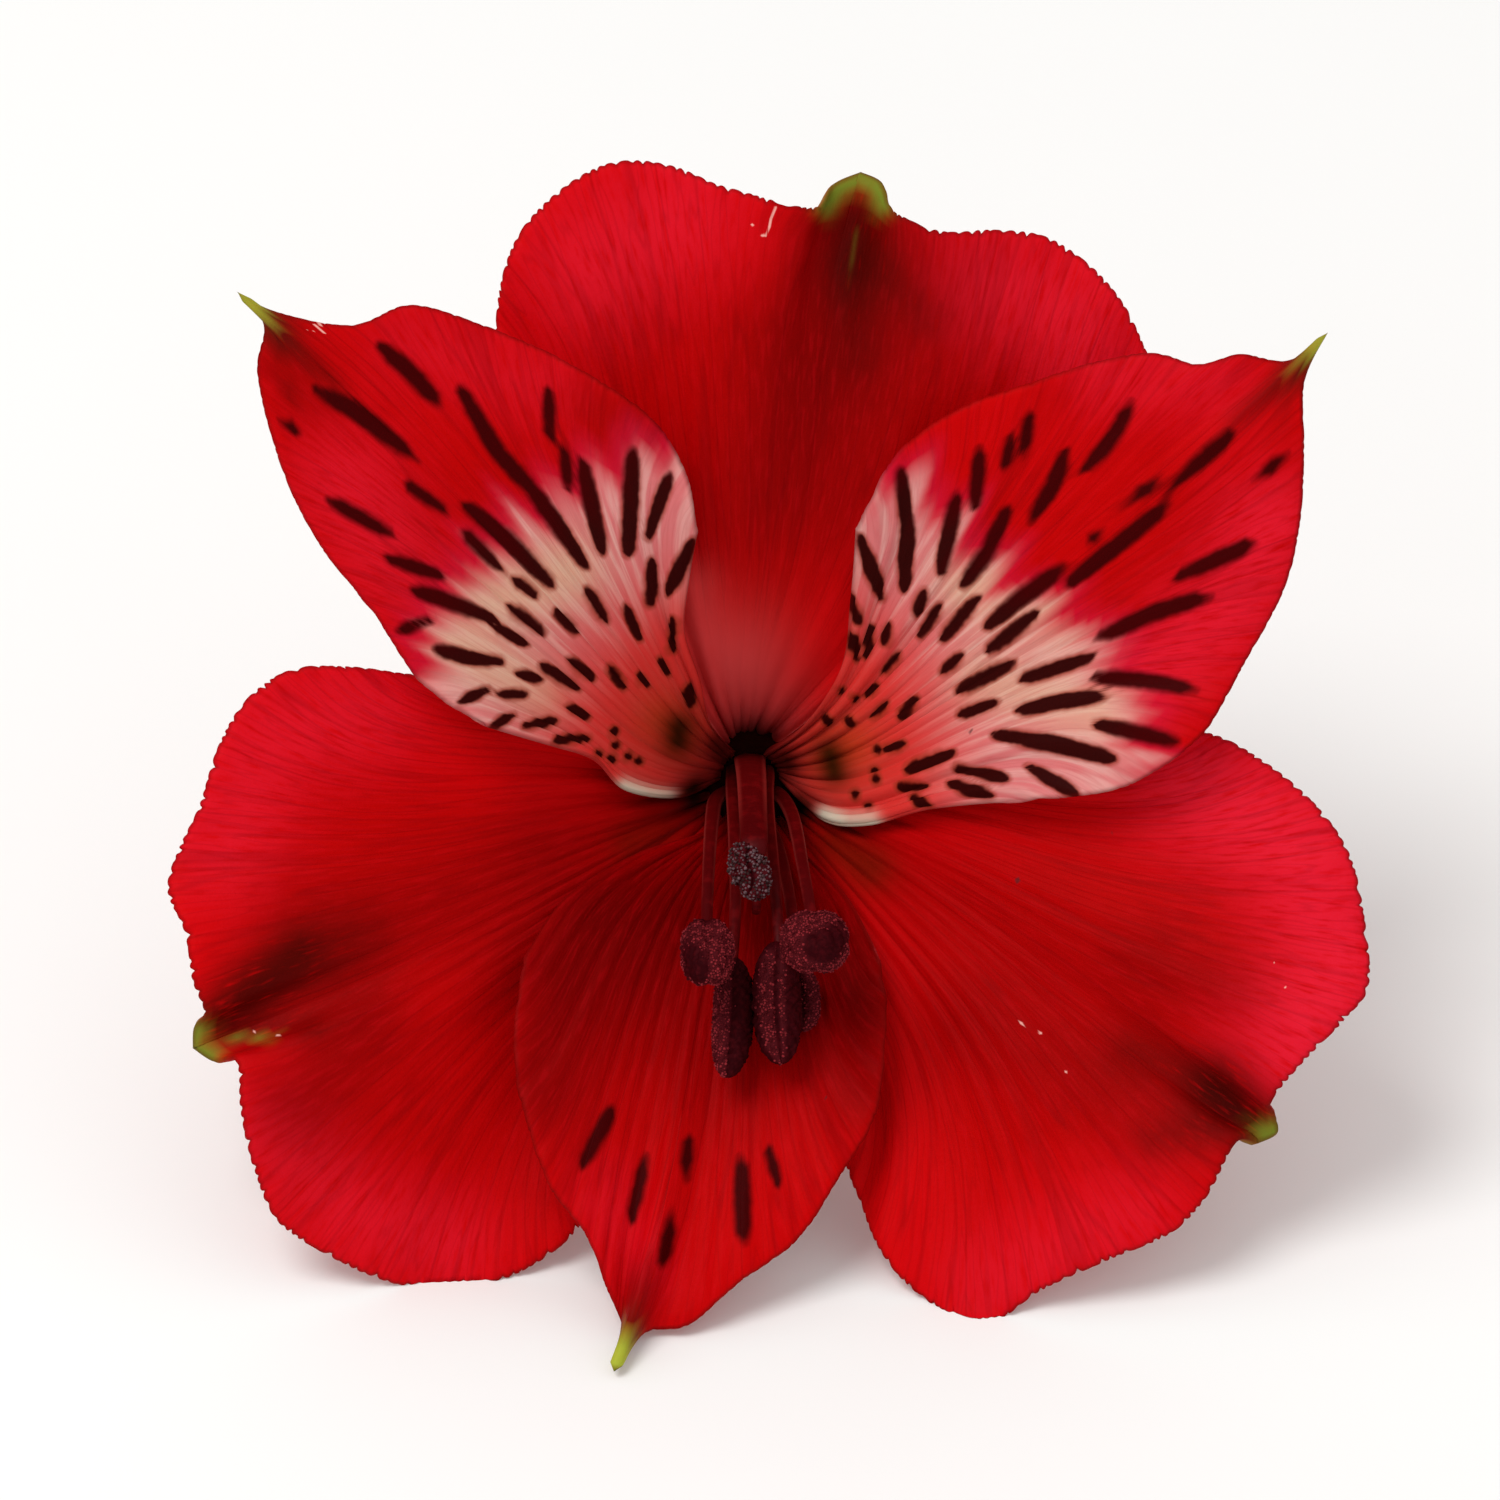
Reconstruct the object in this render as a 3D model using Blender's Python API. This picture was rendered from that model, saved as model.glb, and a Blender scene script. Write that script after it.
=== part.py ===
"""Alstroemeria bloom on its own stalk, picked and lying on a table.

Three broad outer tepals, three narrower inner ones, six stamens and a style stand on
the flat top of the ovary, which is the swollen end of the stalk. The bloom rests on
the margins of its lower tepals and on the stalk, so that its face looks forward and up.

Lengths are in millimetres, in the bloom's own frame: the origin is the middle of the
ovary's top, x points to the right of the face as it is seen from the front, y up the
face, and z out of the throat. The empty bloom_frame carries that frame.
"""

import math

import bpy
import numpy as np

MM = 0.001

# How the bloom lies: the throat's axis rises by this angle above the table, and the
# lower tepals hold the middle of the ovary's top at this height.
FACE_TILT_DEG = 36.0
OVARY_TOP_HEIGHT = 14.25

# The funnel that every tepal follows from its claw: the depth it tends to, the way out
# over which it opens, and how steeply it starts (1 is a plain curve, 0 a right angle).
FUNNEL_DEPTH = 27.0
FUNNEL_OPENING = 12.0
FUNNEL_START = 0.68

# A blade is thicker at its tip: over this share of half the margin to each side, and
# from this share of the way out.
BLADE_THICKNESS = 0.62
TIP_THICKNESS = 1.1
TIP_SPREAD = 0.05
TIP_FROM = 0.875
SEAT_GAP = 0.35

# Claws stand in two rings on the ovary, the outer tepals' outside the inner ones'.
OUTER_CLAW = {"radius": 3.35, "half_angle": 42.0}
INNER_CLAW = {"radius": 2.15, "half_angle": 30.0}

# The margin's rise and fall, and its turns, reach this far along it, as shares of its
# length. What is sharper than that stays outside this share of the way from the claw.
RISE_EASE = 0.09
TURN_EASE = 0.03
SHARP_FROM = 0.8

# The coarse grid on which a blade's rows and columns are drawn clear of each other, and
# how much more a point heeds its neighbours in its row than those in its column.
PLAN_ROWS = 36
PLAN_COLUMNS = 40
PLAN_ROUNDS = 900
PLAN_EVENING = 4.0

# Facets: each column ends in several steps along the margin, which carry the teeth.
# Rows crowd towards the claw, where a blade is steep, and the last row is narrow,
# because the teeth are cut in it.
OUTER_COLUMNS = 38
INNER_COLUMNS = 30
BLADE_ROWS = 10
ROW_CROWDING = 1.8
LAST_ROW = 0.965
MARGIN_STEPS = 3
TOOTH_DEPTH = 0.3
TOOTHLESS_STEPS = 5

# The half-width of the fold along the middle of a blade.
KEEL_HALF_WIDTH = 3.0

STALK_RADIUS = 1.3
STALK_ON_TABLE = 15.0
STALK_DRIFT = 5.0
STALK_SIDES = 24
BEND_RINGS = 14
LYING_RINGS = 5
RIBS = 6
RIB_DEPTH = 0.09

# The ovary and the stalk's end from the top down: depth below the top, and radius.
OVARY_OUTLINE = [
    (0.0, 3.85),
    (1.0, 4.0),
    (2.4, 3.95),
    (4.2, 3.4),
    (6.0, 2.5),
    (7.5, 1.75),
    (8.8, 1.4),
    (10.5, 1.3),
]
OVARY_LENGTH = 8.8

STYLE_HALF_WIDTHS = (0.4, 0.28)
FILAMENT_HALF_DEPTH = 0.34
FILAMENT_SIDES = 8
FILAMENT_RINGS = 13

# An anther's rings stop short of its points by this share of a half turn, and its ends
# are blunter the higher the power is.
ANTHER_SIDES = 16
ANTHER_RINGS = 11
ANTHER_SHORT = 0.12
ANTHER_BLUNTNESS = 2.6
ANTHER_FURROW = 0.2
FURROW_WIDTH = 0.4

SHARP_EDGE_DEG = 40.0

OUTER = {"claw": OUTER_CLAW, "columns": OUTER_COLUMNS, "teeth": True, "keel": 1.1}
INNER = {"claw": INNER_CLAW, "columns": INNER_COLUMNS, "teeth": False, "keel": 0.6}

# Each tepal's outline as x, y: the side that leaves the claw clockwise, and the side
# that leaves it counter-clockwise. Between their ends the margin runs round the tip as
# x, y and how far it stands in front of the funnel. "point" is the tip's index in it.
TEPALS = {
    "tepal_outer_top": {
        **OUTER,
        "azimuth": 90.0,
        "point": 9,
        "first_side": [(5.8, 5.0), (11.8, 9.6), (18.6, 15.0), (23.6, 20.6)],
        "margin": [
            (24.9, 26.2, -1.8),
            (23.4, 29.4, -2.0),
            (21.2, 32.0, -2.0),
            (18.4, 33.8, -1.6),
            (15.2, 34.2, -1.0),
            (12.0, 34.1, -0.2),
            (9.6, 34.9, 0.3),
            (8.7, 35.6, 0.0),
            (8.2, 37.2, -1.4),
            (6.9, 37.9, -2.2),
            (5.2, 37.1, -1.4),
            (4.2, 35.6, 0.0),
            (1.4, 36.0, 0.3),
            (-2.0, 37.0, -0.2),
            (-5.0, 38.2, -0.8),
            (-8.6, 38.4, -1.4),
            (-12.0, 36.6, -2.0),
            (-14.5, 33.8, -2.4),
            (-15.8, 29.6, -2.4),
            (-15.8, 24.5, -2.0),
        ],
        "second_side": [(-4.6, 5.2), (-9.0, 11.4), (-13.2, 18.0)],
    },
    "tepal_outer_left": {
        **OUTER,
        "azimuth": 210.0,
        "point": 12,
        "first_side": [(-8.4, 2.3), (-14.4, 4.6)],
        "margin": [
            (-20.5, 6.5, -1.4),
            (-25.0, 7.1, -1.5),
            (-28.6, 6.9, -1.8),
            (-31.4, 5.0, -2.0),
            (-33.2, 2.0, -2.0),
            (-34.3, -1.6, -1.6),
            (-35.5, -4.2, -1.2),
            (-36.2, -6.8, -0.9),
            (-35.1, -9.6, -0.2),
            (-34.6, -12.4, 0.3),
            (-33.9, -14.4, 0.2),
            (-34.6, -15.4, -1.0),
            (-34.7, -16.7, -1.6),
            (-33.4, -17.5, -1.0),
            (-31.9, -17.5, 0.2),
            (-31.6, -20.6, 0.0),
            (-30.8, -24.2, -0.8),
            (-29.3, -27.5, -1.8),
            (-26.0, -29.8, -3.4),
            (-22.0, -31.5, -4.7),
            (-18.0, -31.7, -4.9),
            (-14.2, -30.7, -4.6),
            (-10.6, -27.8, -3.6),
            (-8.0, -22.0, -2.6),
        ],
        "second_side": [(-3.2, -8.0), (-5.4, -15.0)],
    },
    "tepal_outer_right": {
        **OUTER,
        "azimuth": 330.0,
        "point": 10,
        "first_side": [(2.8, -7.8), (4.0, -13.6)],
        "margin": [
            (4.9, -19.0, -2.2),
            (6.3, -25.0, -3.0),
            (8.6, -30.1, -2.6),
            (11.8, -33.0, -2.5),
            (14.6, -34.1, -2.2),
            (18.0, -31.8, -1.4),
            (22.4, -29.8, -1.0),
            (26.2, -28.1, -0.8),
            (28.4, -25.8, -0.4),
            (30.2, -22.5, 0.2),
            (31.6, -22.6, -0.8),
            (32.8, -22.0, -1.4),
            (32.7, -20.9, -0.8),
            (32.4, -19.9, 0.2),
            (34.2, -17.6, 0.2),
            (36.8, -15.0, 0.0),
            (38.4, -12.8, -0.6),
            (38.2, -8.6, -1.2),
            (37.3, -4.6, -1.6),
            (35.2, -1.5, -1.8),
            (32.0, 1.2, -1.8),
            (28.4, 3.0, -1.6),
            (23.0, 3.2, -1.4),
        ],
        "second_side": [(8.6, 0.6), (15.6, 1.6)],
    },
    "tepal_inner_left": {
        **INNER,
        "azimuth": 150.0,
        "point": 8,
        "first_side": [(-2.6, 3.6), (-3.2, 6.4), (-4.1, 9.4), (-3.8, 12.4)],
        "margin": [
            (-3.3, 15.4, 3.1),
            (-3.9, 18.8, 3.2),
            (-6.4, 22.8, 3.0),
            (-11.0, 25.7, 2.8),
            (-16.4, 28.1, 2.6),
            (-20.9, 29.4, 2.4),
            (-24.6, 28.1, 3.2),
            (-29.2, 28.9, 3.6),
            (-31.6, 30.1, 4.2),
            (-30.0, 28.1, 3.6),
            (-30.4, 25.0, 3.0),
            (-29.0, 19.4, 2.6),
            (-26.6, 14.5, 2.4),
            (-23.4, 10.4, 2.3),
            (-20.6, 6.3, 2.3),
            (-16.6, 3.2, 2.4),
        ],
        "second_side": [(-4.6, -1.2), (-8.0, -0.7), (-9.9, 1.2), (-12.6, 2.1)],
    },
    "tepal_inner_right": {
        **INNER,
        "azimuth": 30.0,
        "point": 9,
        "first_side": [(4.6, -2.6), (7.4, -2.9), (11.0, -1.9)],
        "margin": [
            (16.0, -1.3, 2.4),
            (20.6, -1.0, 2.4),
            (24.6, 0.2, 2.3),
            (28.2, 3.0, 2.3),
            (30.6, 7.3, 2.3),
            (33.0, 11.7, 2.4),
            (34.0, 16.0, 2.6),
            (34.2, 20.6, 3.0),
            (34.2, 24.6, 3.6),
            (35.6, 27.6, 4.2),
            (33.2, 25.9, 3.6),
            (30.2, 26.3, 3.2),
            (27.6, 25.7, 3.0),
            (24.4, 26.4, 2.6),
            (18.6, 25.1, 2.6),
            (12.8, 22.9, 2.8),
            (8.7, 19.8, 3.0),
            (6.6, 15.6, 3.1),
        ],
        "second_side": [(3.6, 3.6), (5.8, 7.2), (6.3, 11.4)],
    },
    "tepal_inner_lower": {
        **INNER,
        "azimuth": 270.0,
        "point": 7,
        "first_side": [(-3.0, -3.4), (-7.0, -4.6), (-11.4, -7.2)],
        "margin": [
            (-14.0, -11.0, 2.1),
            (-14.7, -15.5, 2.3),
            (-14.2, -20.0, 2.1),
            (-12.6, -25.0, 1.6),
            (-10.2, -28.2, 1.3),
            (-8.9, -31.5, 1.0),
            (-7.9, -34.1, 0.9),
            (-8.4, -36.5, 3.6),
            (-6.5, -34.3, 0.8),
            (-3.8, -33.8, 0.5),
            (-0.6, -31.2, 0.8),
            (3.2, -28.2, 1.3),
            (6.0, -24.0, 1.7),
            (7.9, -20.0, 2.0),
            (8.6, -15.0, 2.2),
            (7.9, -10.6, 1.9),
        ],
        "second_side": [(3.2, -4.4), (6.0, -7.2)],
    },
}

# Each stamen: its filament's points, the filament's half-width at its foot and at its
# anther, the way the anther points, and the anther's length, width and depth.
STAMENS = {
    "left": {
        "path": [
            (-1.04, -0.6, 0.35),
            (-2.1, -1.2, 6.0),
            (-2.4, -2.6, 12.0),
            (-2.6, -5.8, 18.8),
            (-2.7, -9.2, 22.9),
        ],
        "thread": (0.56, 0.34),
        "anther": (0.02, -0.38, 0.92),
        "size": (6.6, 3.3, 3.4),
    },
    "right": {
        "path": [
            (1.04, -0.6, 0.35),
            (1.9, -1.0, 6.0),
            (2.7, -2.4, 12.0),
            (3.3, -5.4, 19.0),
            (3.9, -9.0, 23.7),
        ],
        "thread": (0.56, 0.34),
        "anther": (0.03, -0.26, 0.96),
        "size": (6.4, 4.2, 3.6),
    },
    "lower_left": {
        "path": [
            (-1.04, 0.6, 0.35),
            (-1.1, -0.6, 6.4),
            (-1.0, -3.0, 12.4),
            (-0.9, -7.2, 18.4),
            (-1.05, -10.7, 21.2),
        ],
        "thread": (0.5, 0.34),
        "anther": (-0.05, -0.95, 0.30),
        "size": (7.8, 2.6, 2.4),
    },
    "lower_middle": {
        "path": [
            (1.04, 0.6, 0.35),
            (1.1, 0.2, 6.0),
            (1.1, -1.6, 12.6),
            (1.5, -5.8, 18.9),
            (1.8, -9.7, 21.6),
        ],
        "thread": (0.5, 0.34),
        "anther": (0.02, -0.96, 0.28),
        "size": (7.9, 3.1, 2.6),
    },
    "lower_right": {
        "path": [
            (0.0, -1.2, 0.35),
            (0.7, -2.2, 5.6),
            (1.8, -4.4, 11.0),
            (2.6, -8.1, 16.8),
            (2.95, -11.3, 19.4),
        ],
        "thread": (0.5, 0.34),
        "anther": (0.08, -0.96, 0.29),
        "size": (4.2, 2.2, 1.8),
    },
    "shed": {
        "path": [
            (0.0, 1.3, 0.35),
            (0.0, 1.1, 6.0),
            (0.1, 0.0, 12.4),
            (0.2, -2.4, 18.6),
            (0.25, -3.7, 21.6),
        ],
        "thread": (1.05, 0.85),
        "anther": (-0.12, -0.93, 0.35),
        "size": (3.5, 2.3, 1.8),
    },
}
STYLE_PATH = [
    (0.0, 0.0, 0.35),
    (0.0, -0.5, 6.0),
    (0.1, -2.2, 11.0),
    (0.3, -5.2, 15.4),
    (0.4, -7.6, 17.4),
]

COLOURS = {
    "petal_red": (0.56, 0.006, 0.012),
    "petal_marked": (0.60, 0.05, 0.06),
    "filament_red": (0.30, 0.01, 0.015),
    "anther_maroon": (0.06, 0.008, 0.012),
    "stalk_green": (0.12, 0.22, 0.04),
}


def clear_scene():
    for item in list(bpy.data.objects):
        bpy.data.objects.remove(item, do_unlink=True)


def coloured(name):
    """The Principled material of one colour, made once."""
    found = bpy.data.materials.get(name)
    if found:
        return found
    made = bpy.data.materials.new(name)
    made.use_nodes = True
    shader = made.node_tree.nodes["Principled BSDF"]
    shader.inputs["Base Color"].default_value = (*COLOURS[name], 1.0)
    shader.inputs["Roughness"].default_value = 0.55
    shader.inputs["Metallic"].default_value = 0.0
    made.diffuse_color = (*COLOURS[name], 1.0)
    return made


def unit(vectors):
    return vectors / np.linalg.norm(vectors, axis=-1, keepdims=True)


def table_up():
    """The direction away from the table, in the bloom's frame."""
    tilt = math.radians(FACE_TILT_DEG)
    return np.array([0.0, math.cos(tilt), math.sin(tilt)])


def above_table(points):
    """The points, with those below the table raised onto it."""
    height = points @ table_up() + OVARY_TOP_HEIGHT
    return points + np.outer(np.maximum(-height, 0), table_up())


def smooth_line(points, places):
    """A smooth line through the points, read at places from 0 to their count less one."""
    last = len(points) - 1
    index = np.clip(np.floor(places).astype(int), 0, last - 1)
    part = (places - index)[:, None]
    start, end = points[index], points[index + 1]
    leave = (end - points[np.maximum(index - 1, 0)]) / 2
    arrive = (points[np.minimum(index + 2, last)] - start) / 2
    square, cube = part**2, part**3
    return (
        (2 * cube - 3 * square + 1) * start
        + (cube - 2 * square + part) * leave
        + (3 * square - 2 * cube) * end
        + (cube - square) * arrive
    )


def along(points, shares):
    """The smooth line through the points, read at shares of its length."""
    points = np.array(points, float)
    places = np.linspace(0, len(points) - 1, 30 * len(points))
    line = smooth_line(points, places)
    run = np.concatenate([[0], np.cumsum(np.linalg.norm(np.diff(line, axis=0), axis=1))])
    return smooth_line(points, np.interp(np.asarray(shares) * run[-1], run, places))


def funnel(across, claw):
    """The funnel's depth at these places across the face, for a tepal with this claw."""
    out = np.maximum(np.linalg.norm(across, axis=-1) - claw["radius"], 0)
    return SEAT_GAP + FUNNEL_DEPTH * (1 - np.exp(-((out / FUNNEL_OPENING) ** FUNNEL_START)))


def margin_of(tepal):
    """The margin's points, with as many steps before the tip as past it."""
    shares = np.linspace(0, 1, tepal["columns"] // 2 * MARGIN_STEPS + 1)
    outline, point = tepal["margin"], tepal["point"]
    return np.concatenate([along(outline[: point + 1], shares), along(outline[point:], shares)[1:]])


def eased(values, reach):
    """Values along the margin without what changes faster than this share of it."""
    count = len(values)
    before = 2 * values[0] - values[:0:-1]
    after = 2 * values[-1] - values[-2::-1]
    padded = np.concatenate([before, values, after])
    place = (np.arange(len(padded)) - (count - 1)) / (count - 1)
    near = np.exp(-(((np.linspace(0, 1, count)[:, None] - place) / reach) ** 2))
    return (near @ padded) / near.sum(axis=1).reshape(-1, *[1] * (values.ndim - 1))


def cut_teeth(margin):
    """Every second point of the margin drawn in, apart from those round the green tip."""
    number = np.arange(len(margin))
    cut = (number % 2 == 1) & (np.abs(number - len(margin) // 2) > TOOTHLESS_STEPS)
    inward = -unit(margin * (1, 1, 0))
    return margin + inward * (TOOTH_DEPTH * cut)[:, None]


def claw_foot(tepal, count):
    angle = np.radians(tepal["azimuth"] + tepal["claw"]["half_angle"] * np.linspace(-1, 1, count))
    return tepal["claw"]["radius"] * np.stack([np.cos(angle), np.sin(angle)], axis=1)


def clear_plan(tepal, edge):
    """The blade seen from the front as a coarse grid whose lines don't cross."""
    shares = np.linspace(0, 1, PLAN_ROWS + 1)
    place = np.linspace(0, 1, PLAN_COLUMNS + 1)[:, None]
    foot = claw_foot(tepal, PLAN_COLUMNS + 1)
    edge = smooth_line(edge, place[:, 0] * (len(edge) - 1))
    grid = (1 - shares)[:, None, None] * foot + shares[:, None, None] * edge
    first = along([foot[0], *tepal["first_side"], edge[0]], shares) - grid[:, 0]
    second = along([foot[-1], *tepal["second_side"], edge[-1]], shares) - grid[:, -1]
    grid = grid + (1 - place) * first[:, None] + place * second[:, None]
    for _ in range(PLAN_ROUNDS):
        around = PLAN_EVENING * (grid[1:-1, :-2] + grid[1:-1, 2:]) + grid[:-2, 1:-1] + grid[2:, 1:-1]
        grid[1:-1, 1:-1] = around / (2 * PLAN_EVENING + 2)
    return grid


def read_plan(grid, shares, places):
    """The grid's smooth surface at shares of the way out and places along the margin."""
    rows, columns = grid.shape[:2]
    lines = smooth_line(grid.reshape(rows, -1), shares * (rows - 1))
    lines = lines.reshape(-1, columns, 2).transpose(1, 0, 2).reshape(columns, -1)
    lines = smooth_line(lines, places * (columns - 1))
    return lines.reshape(len(places), -1, 2).transpose(1, 0, 2)


def from_middle(plan):
    """How far each point is from the middle column, along its row."""
    steps = np.linalg.norm(np.diff(plan, axis=1), axis=2)
    way = np.concatenate([np.zeros((len(plan), 1)), np.cumsum(steps, axis=1)], axis=1)
    return way - way[:, [way.shape[1] // 2]]


def middle_surface(tepal, rows):
    """The blade's middle surface: a row of points for each share of the way from the claw."""
    margin = margin_of(tepal)
    edge, rise = margin[:, :2], margin[:, 2]
    plan = read_plan(clear_plan(tepal, eased(edge, TURN_EASE)), rows, np.linspace(0, 1, len(edge)))
    share = rows[:, None]
    keel = tepal["keel"] * share**2 * np.exp(-((from_middle(plan) / KEEL_HALF_WIDTH) ** 2))
    keen = np.clip((share - SHARP_FROM) / (1 - SHARP_FROM), 0, 1) ** 2
    plan += keen[:, :, None] * (edge - plan[-1])
    broad = eased(rise, RISE_EASE)
    height = funnel(plan, tepal["claw"]) + share**2 * broad + keen * (rise - broad) - keel
    return np.dstack([plan, height])


def facing(surface):
    """Unit normals of a grid of points, on the side that looks into the throat."""
    out = np.gradient(surface, axis=0)
    round_way = np.gradient(surface, axis=1)
    return unit(np.cross(out, round_way))


def blade_triangles(rows, margin):
    """The front face's triangles: rows of point numbers, and the margin's finer steps."""
    faces = []
    for below, above in zip(rows, rows[1:]):
        for a, b, c, d in zip(below, below[1:], above, above[1:]):
            faces += [(a, c, d), (a, d, b)]
    for i, (a, b) in enumerate(zip(rows[-1], rows[-1][1:])):
        steps = margin[i * MARGIN_STEPS : (i + 1) * MARGIN_STEPS + 1]
        faces += [(a, steps[0], steps[1]), (a, steps[1], b)]
        faces += [(b, k, l) for k, l in zip(steps[1:], steps[2:])]
    return faces


def blade(tepal):
    """Points and triangles of a tepal: the same triangles in front and behind, and a rim."""
    rows = np.append(LAST_ROW * np.linspace(0, 1, BLADE_ROWS) ** ROW_CROWDING, 1.0)
    surface = middle_surface(tepal, rows)
    from_tip = np.linspace(-1, 1, surface.shape[1])
    outward = np.clip((rows - TIP_FROM) / (1 - TIP_FROM), 0, 1)[:, None]
    near_tip = np.exp(-((from_tip / TIP_SPREAD) ** 2)) * outward
    thick = BLADE_THICKNESS + (TIP_THICKNESS - BLADE_THICKNESS) * near_tip
    shift = facing(surface) * thick[:, :, None] / 2
    points = []
    for side in (surface + shift, surface - shift):
        edge = cut_teeth(side[-1]) if tepal["teeth"] else side[-1]
        points.append(np.concatenate([side[:-1, ::MARGIN_STEPS].reshape(-1, 3), edge]))
    across = tepal["columns"] + 1
    numbers = np.arange(BLADE_ROWS * across).reshape(BLADE_ROWS, across)
    margin = np.arange(len(edge)) + BLADE_ROWS * across
    front = blade_triangles(numbers.tolist(), margin.tolist())
    behind = len(points[0])
    border = [*numbers[:, 0], *margin, *numbers[::-1, -1], *numbers[0, -2:0:-1]]
    rim = []
    for p, q in zip(border, np.roll(border, -1)):
        rim += [(q, p, p + behind), (q, p + behind, q + behind)]
    back = [(k + behind, j + behind, i + behind) for i, j, k in front]
    return above_table(np.concatenate(points)), front + back + rim


def swept(path, outlines):
    """A closed skin through one outline for each point of the path, with flat ends."""
    lead = unit(np.gradient(path, axis=0))
    side = unit(np.array([1.0, 0.0, 0.0]) - lead[:, :1] * lead)
    rise = np.cross(lead, side)
    rings = path[:, None] + outlines[:, :, :1] * side[:, None] + outlines[:, :, 1:] * rise[:, None]
    count, sides = rings.shape[:2]
    points = np.concatenate([rings.reshape(-1, 3), rings[:1].mean(axis=1), rings[-1:].mean(axis=1)])
    faces = []
    for i in range(sides):
        j = (i + 1) % sides
        for ring in range(0, (count - 1) * sides, sides):
            above = ring + sides
            faces += [(ring + i, ring + j, above + j), (ring + i, above + j, above + i)]
        last = (count - 1) * sides
        faces += [(j, i, count * sides), (last + i, last + j, count * sides + 1)]
    return points, faces


def circle(sides):
    angle = np.linspace(0, 2 * np.pi, sides, endpoint=False)
    return np.stack([np.cos(angle), np.sin(angle)], axis=1)


def thread(route, half_widths):
    """A filament or the style: a tapering thread along a smooth route."""
    shares = np.linspace(0, 1, FILAMENT_RINGS)
    widths = np.interp(shares, [0, 1], half_widths)
    depths = np.minimum(widths, FILAMENT_HALF_DEPTH)
    section = np.stack([widths, depths], axis=1)
    return swept(along(route, shares), circle(FILAMENT_SIDES) * section[:, None])


def anther(stamen):
    """Two long lobes with a furrow between them in front and behind."""
    length, width, depth = stamen["size"]
    lead = unit(np.array(stamen["anther"]))
    turn = np.linspace(ANTHER_SHORT, 1 - ANTHER_SHORT, ANTHER_RINGS) * np.pi
    place = (1 - np.cos(turn)) / 2
    swell = np.sqrt(1 - np.abs(2 * place - 1) ** ANTHER_BLUNTNESS)
    ring = circle(ANTHER_SIDES)
    furrow = 1 - ANTHER_FURROW * np.exp(-((ring[:, 0] / FURROW_WIDTH) ** 2))
    outline = ring * furrow[:, None] * (width / 2, depth / 2)
    start = np.array(stamen["path"][-1]) + lead * (SEAT_GAP - place[0] * length)
    return swept(start + lead * (place * length)[:, None], outline * swell[:, None, None])


def stalk():
    """The ribbed ovary, and the stalk that bends from it onto the table."""
    tilt = math.radians(FACE_TILT_DEG)
    drop = OVARY_TOP_HEIGHT - OVARY_LENGTH * math.sin(tilt) - STALK_RADIUS
    bend = drop / (1 - math.cos(tilt))
    turn = np.linspace(0, tilt, BEND_RINGS + 1)[1:]
    straight = [(0.0, 0.0, -depth) for depth, _ in OVARY_OUTLINE[:-1]]
    curved = [(0.0, bend * (1 - math.cos(a)), -OVARY_LENGTH - bend * math.sin(a)) for a in turn]
    along_table = np.array([0.0, math.sin(tilt), -math.cos(tilt)])
    ways = np.linspace(0, STALK_ON_TABLE, LYING_RINGS + 1)[1:]
    lying = [curved[-1] + along_table * way for way in ways]
    path = np.array([*straight, *curved, *lying])
    below = np.concatenate([[0], np.cumsum(np.linalg.norm(np.diff(path, axis=0), axis=1))])
    path[:, 0] = STALK_DRIFT * (below / below[-1]) ** 2
    depths, radii = zip(*OVARY_OUTLINE)
    radius = np.interp(below, depths, radii)
    ribs = RIB_DEPTH * np.clip((radius - STALK_RADIUS) / 2, 0, 1)
    angle = np.linspace(0, 2 * np.pi, STALK_SIDES, endpoint=False)
    swell = radius[:, None] * (1 + ribs[:, None] * np.cos(RIBS * angle))
    points, faces = swept(path, circle(STALK_SIDES) * swell[:, :, None])
    return above_table(points), faces


def add_piece(name, shape, colour, frame):
    points, faces = shape
    mesh = bpy.data.meshes.new(name)
    mesh.from_pydata((points * MM).tolist(), [], np.array(faces).tolist())
    mesh.update()
    mesh.shade_smooth()
    mesh.set_sharp_from_angle(angle=math.radians(SHARP_EDGE_DEG))
    mesh.materials.append(coloured(colour))
    piece = bpy.data.objects.new(name, mesh)
    bpy.context.scene.collection.objects.link(piece)
    piece.parent = frame
    return piece


def place_on_table(frame):
    """The empty's place, so that the middle of the bloom's shadow box is the world's origin."""
    frame.rotation_euler = (math.radians(90 - FACE_TILT_DEG), 0.0, 0.0)
    bpy.context.view_layer.update()
    corners = [
        piece.matrix_world @ vertex.co
        for piece in frame.children
        for vertex in piece.data.vertices
    ]
    low = np.min(corners, axis=0)
    high = np.max(corners, axis=0)
    frame.location = (-(low[0] + high[0]) / 2, -(low[1] + high[1]) / 2, OVARY_TOP_HEIGHT * MM)


def main():
    clear_scene()
    frame = bpy.data.objects.new("bloom_frame", None)
    bpy.context.scene.collection.objects.link(frame)
    add_piece("ovary_and_stalk", stalk(), "stalk_green", frame)
    for name, tepal in TEPALS.items():
        add_piece(name, blade(tepal), "petal_red" if tepal["teeth"] else "petal_marked", frame)
    for name, stamen in STAMENS.items():
        add_piece(f"filament_{name}", thread(stamen["path"], stamen["thread"]), "filament_red", frame)
        add_piece(f"anther_{name}", anther(stamen), "anther_maroon", frame)
    add_piece("style", thread(STYLE_PATH, STYLE_HALF_WIDTHS), "filament_red", frame)
    place_on_table(frame)


main()
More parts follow.
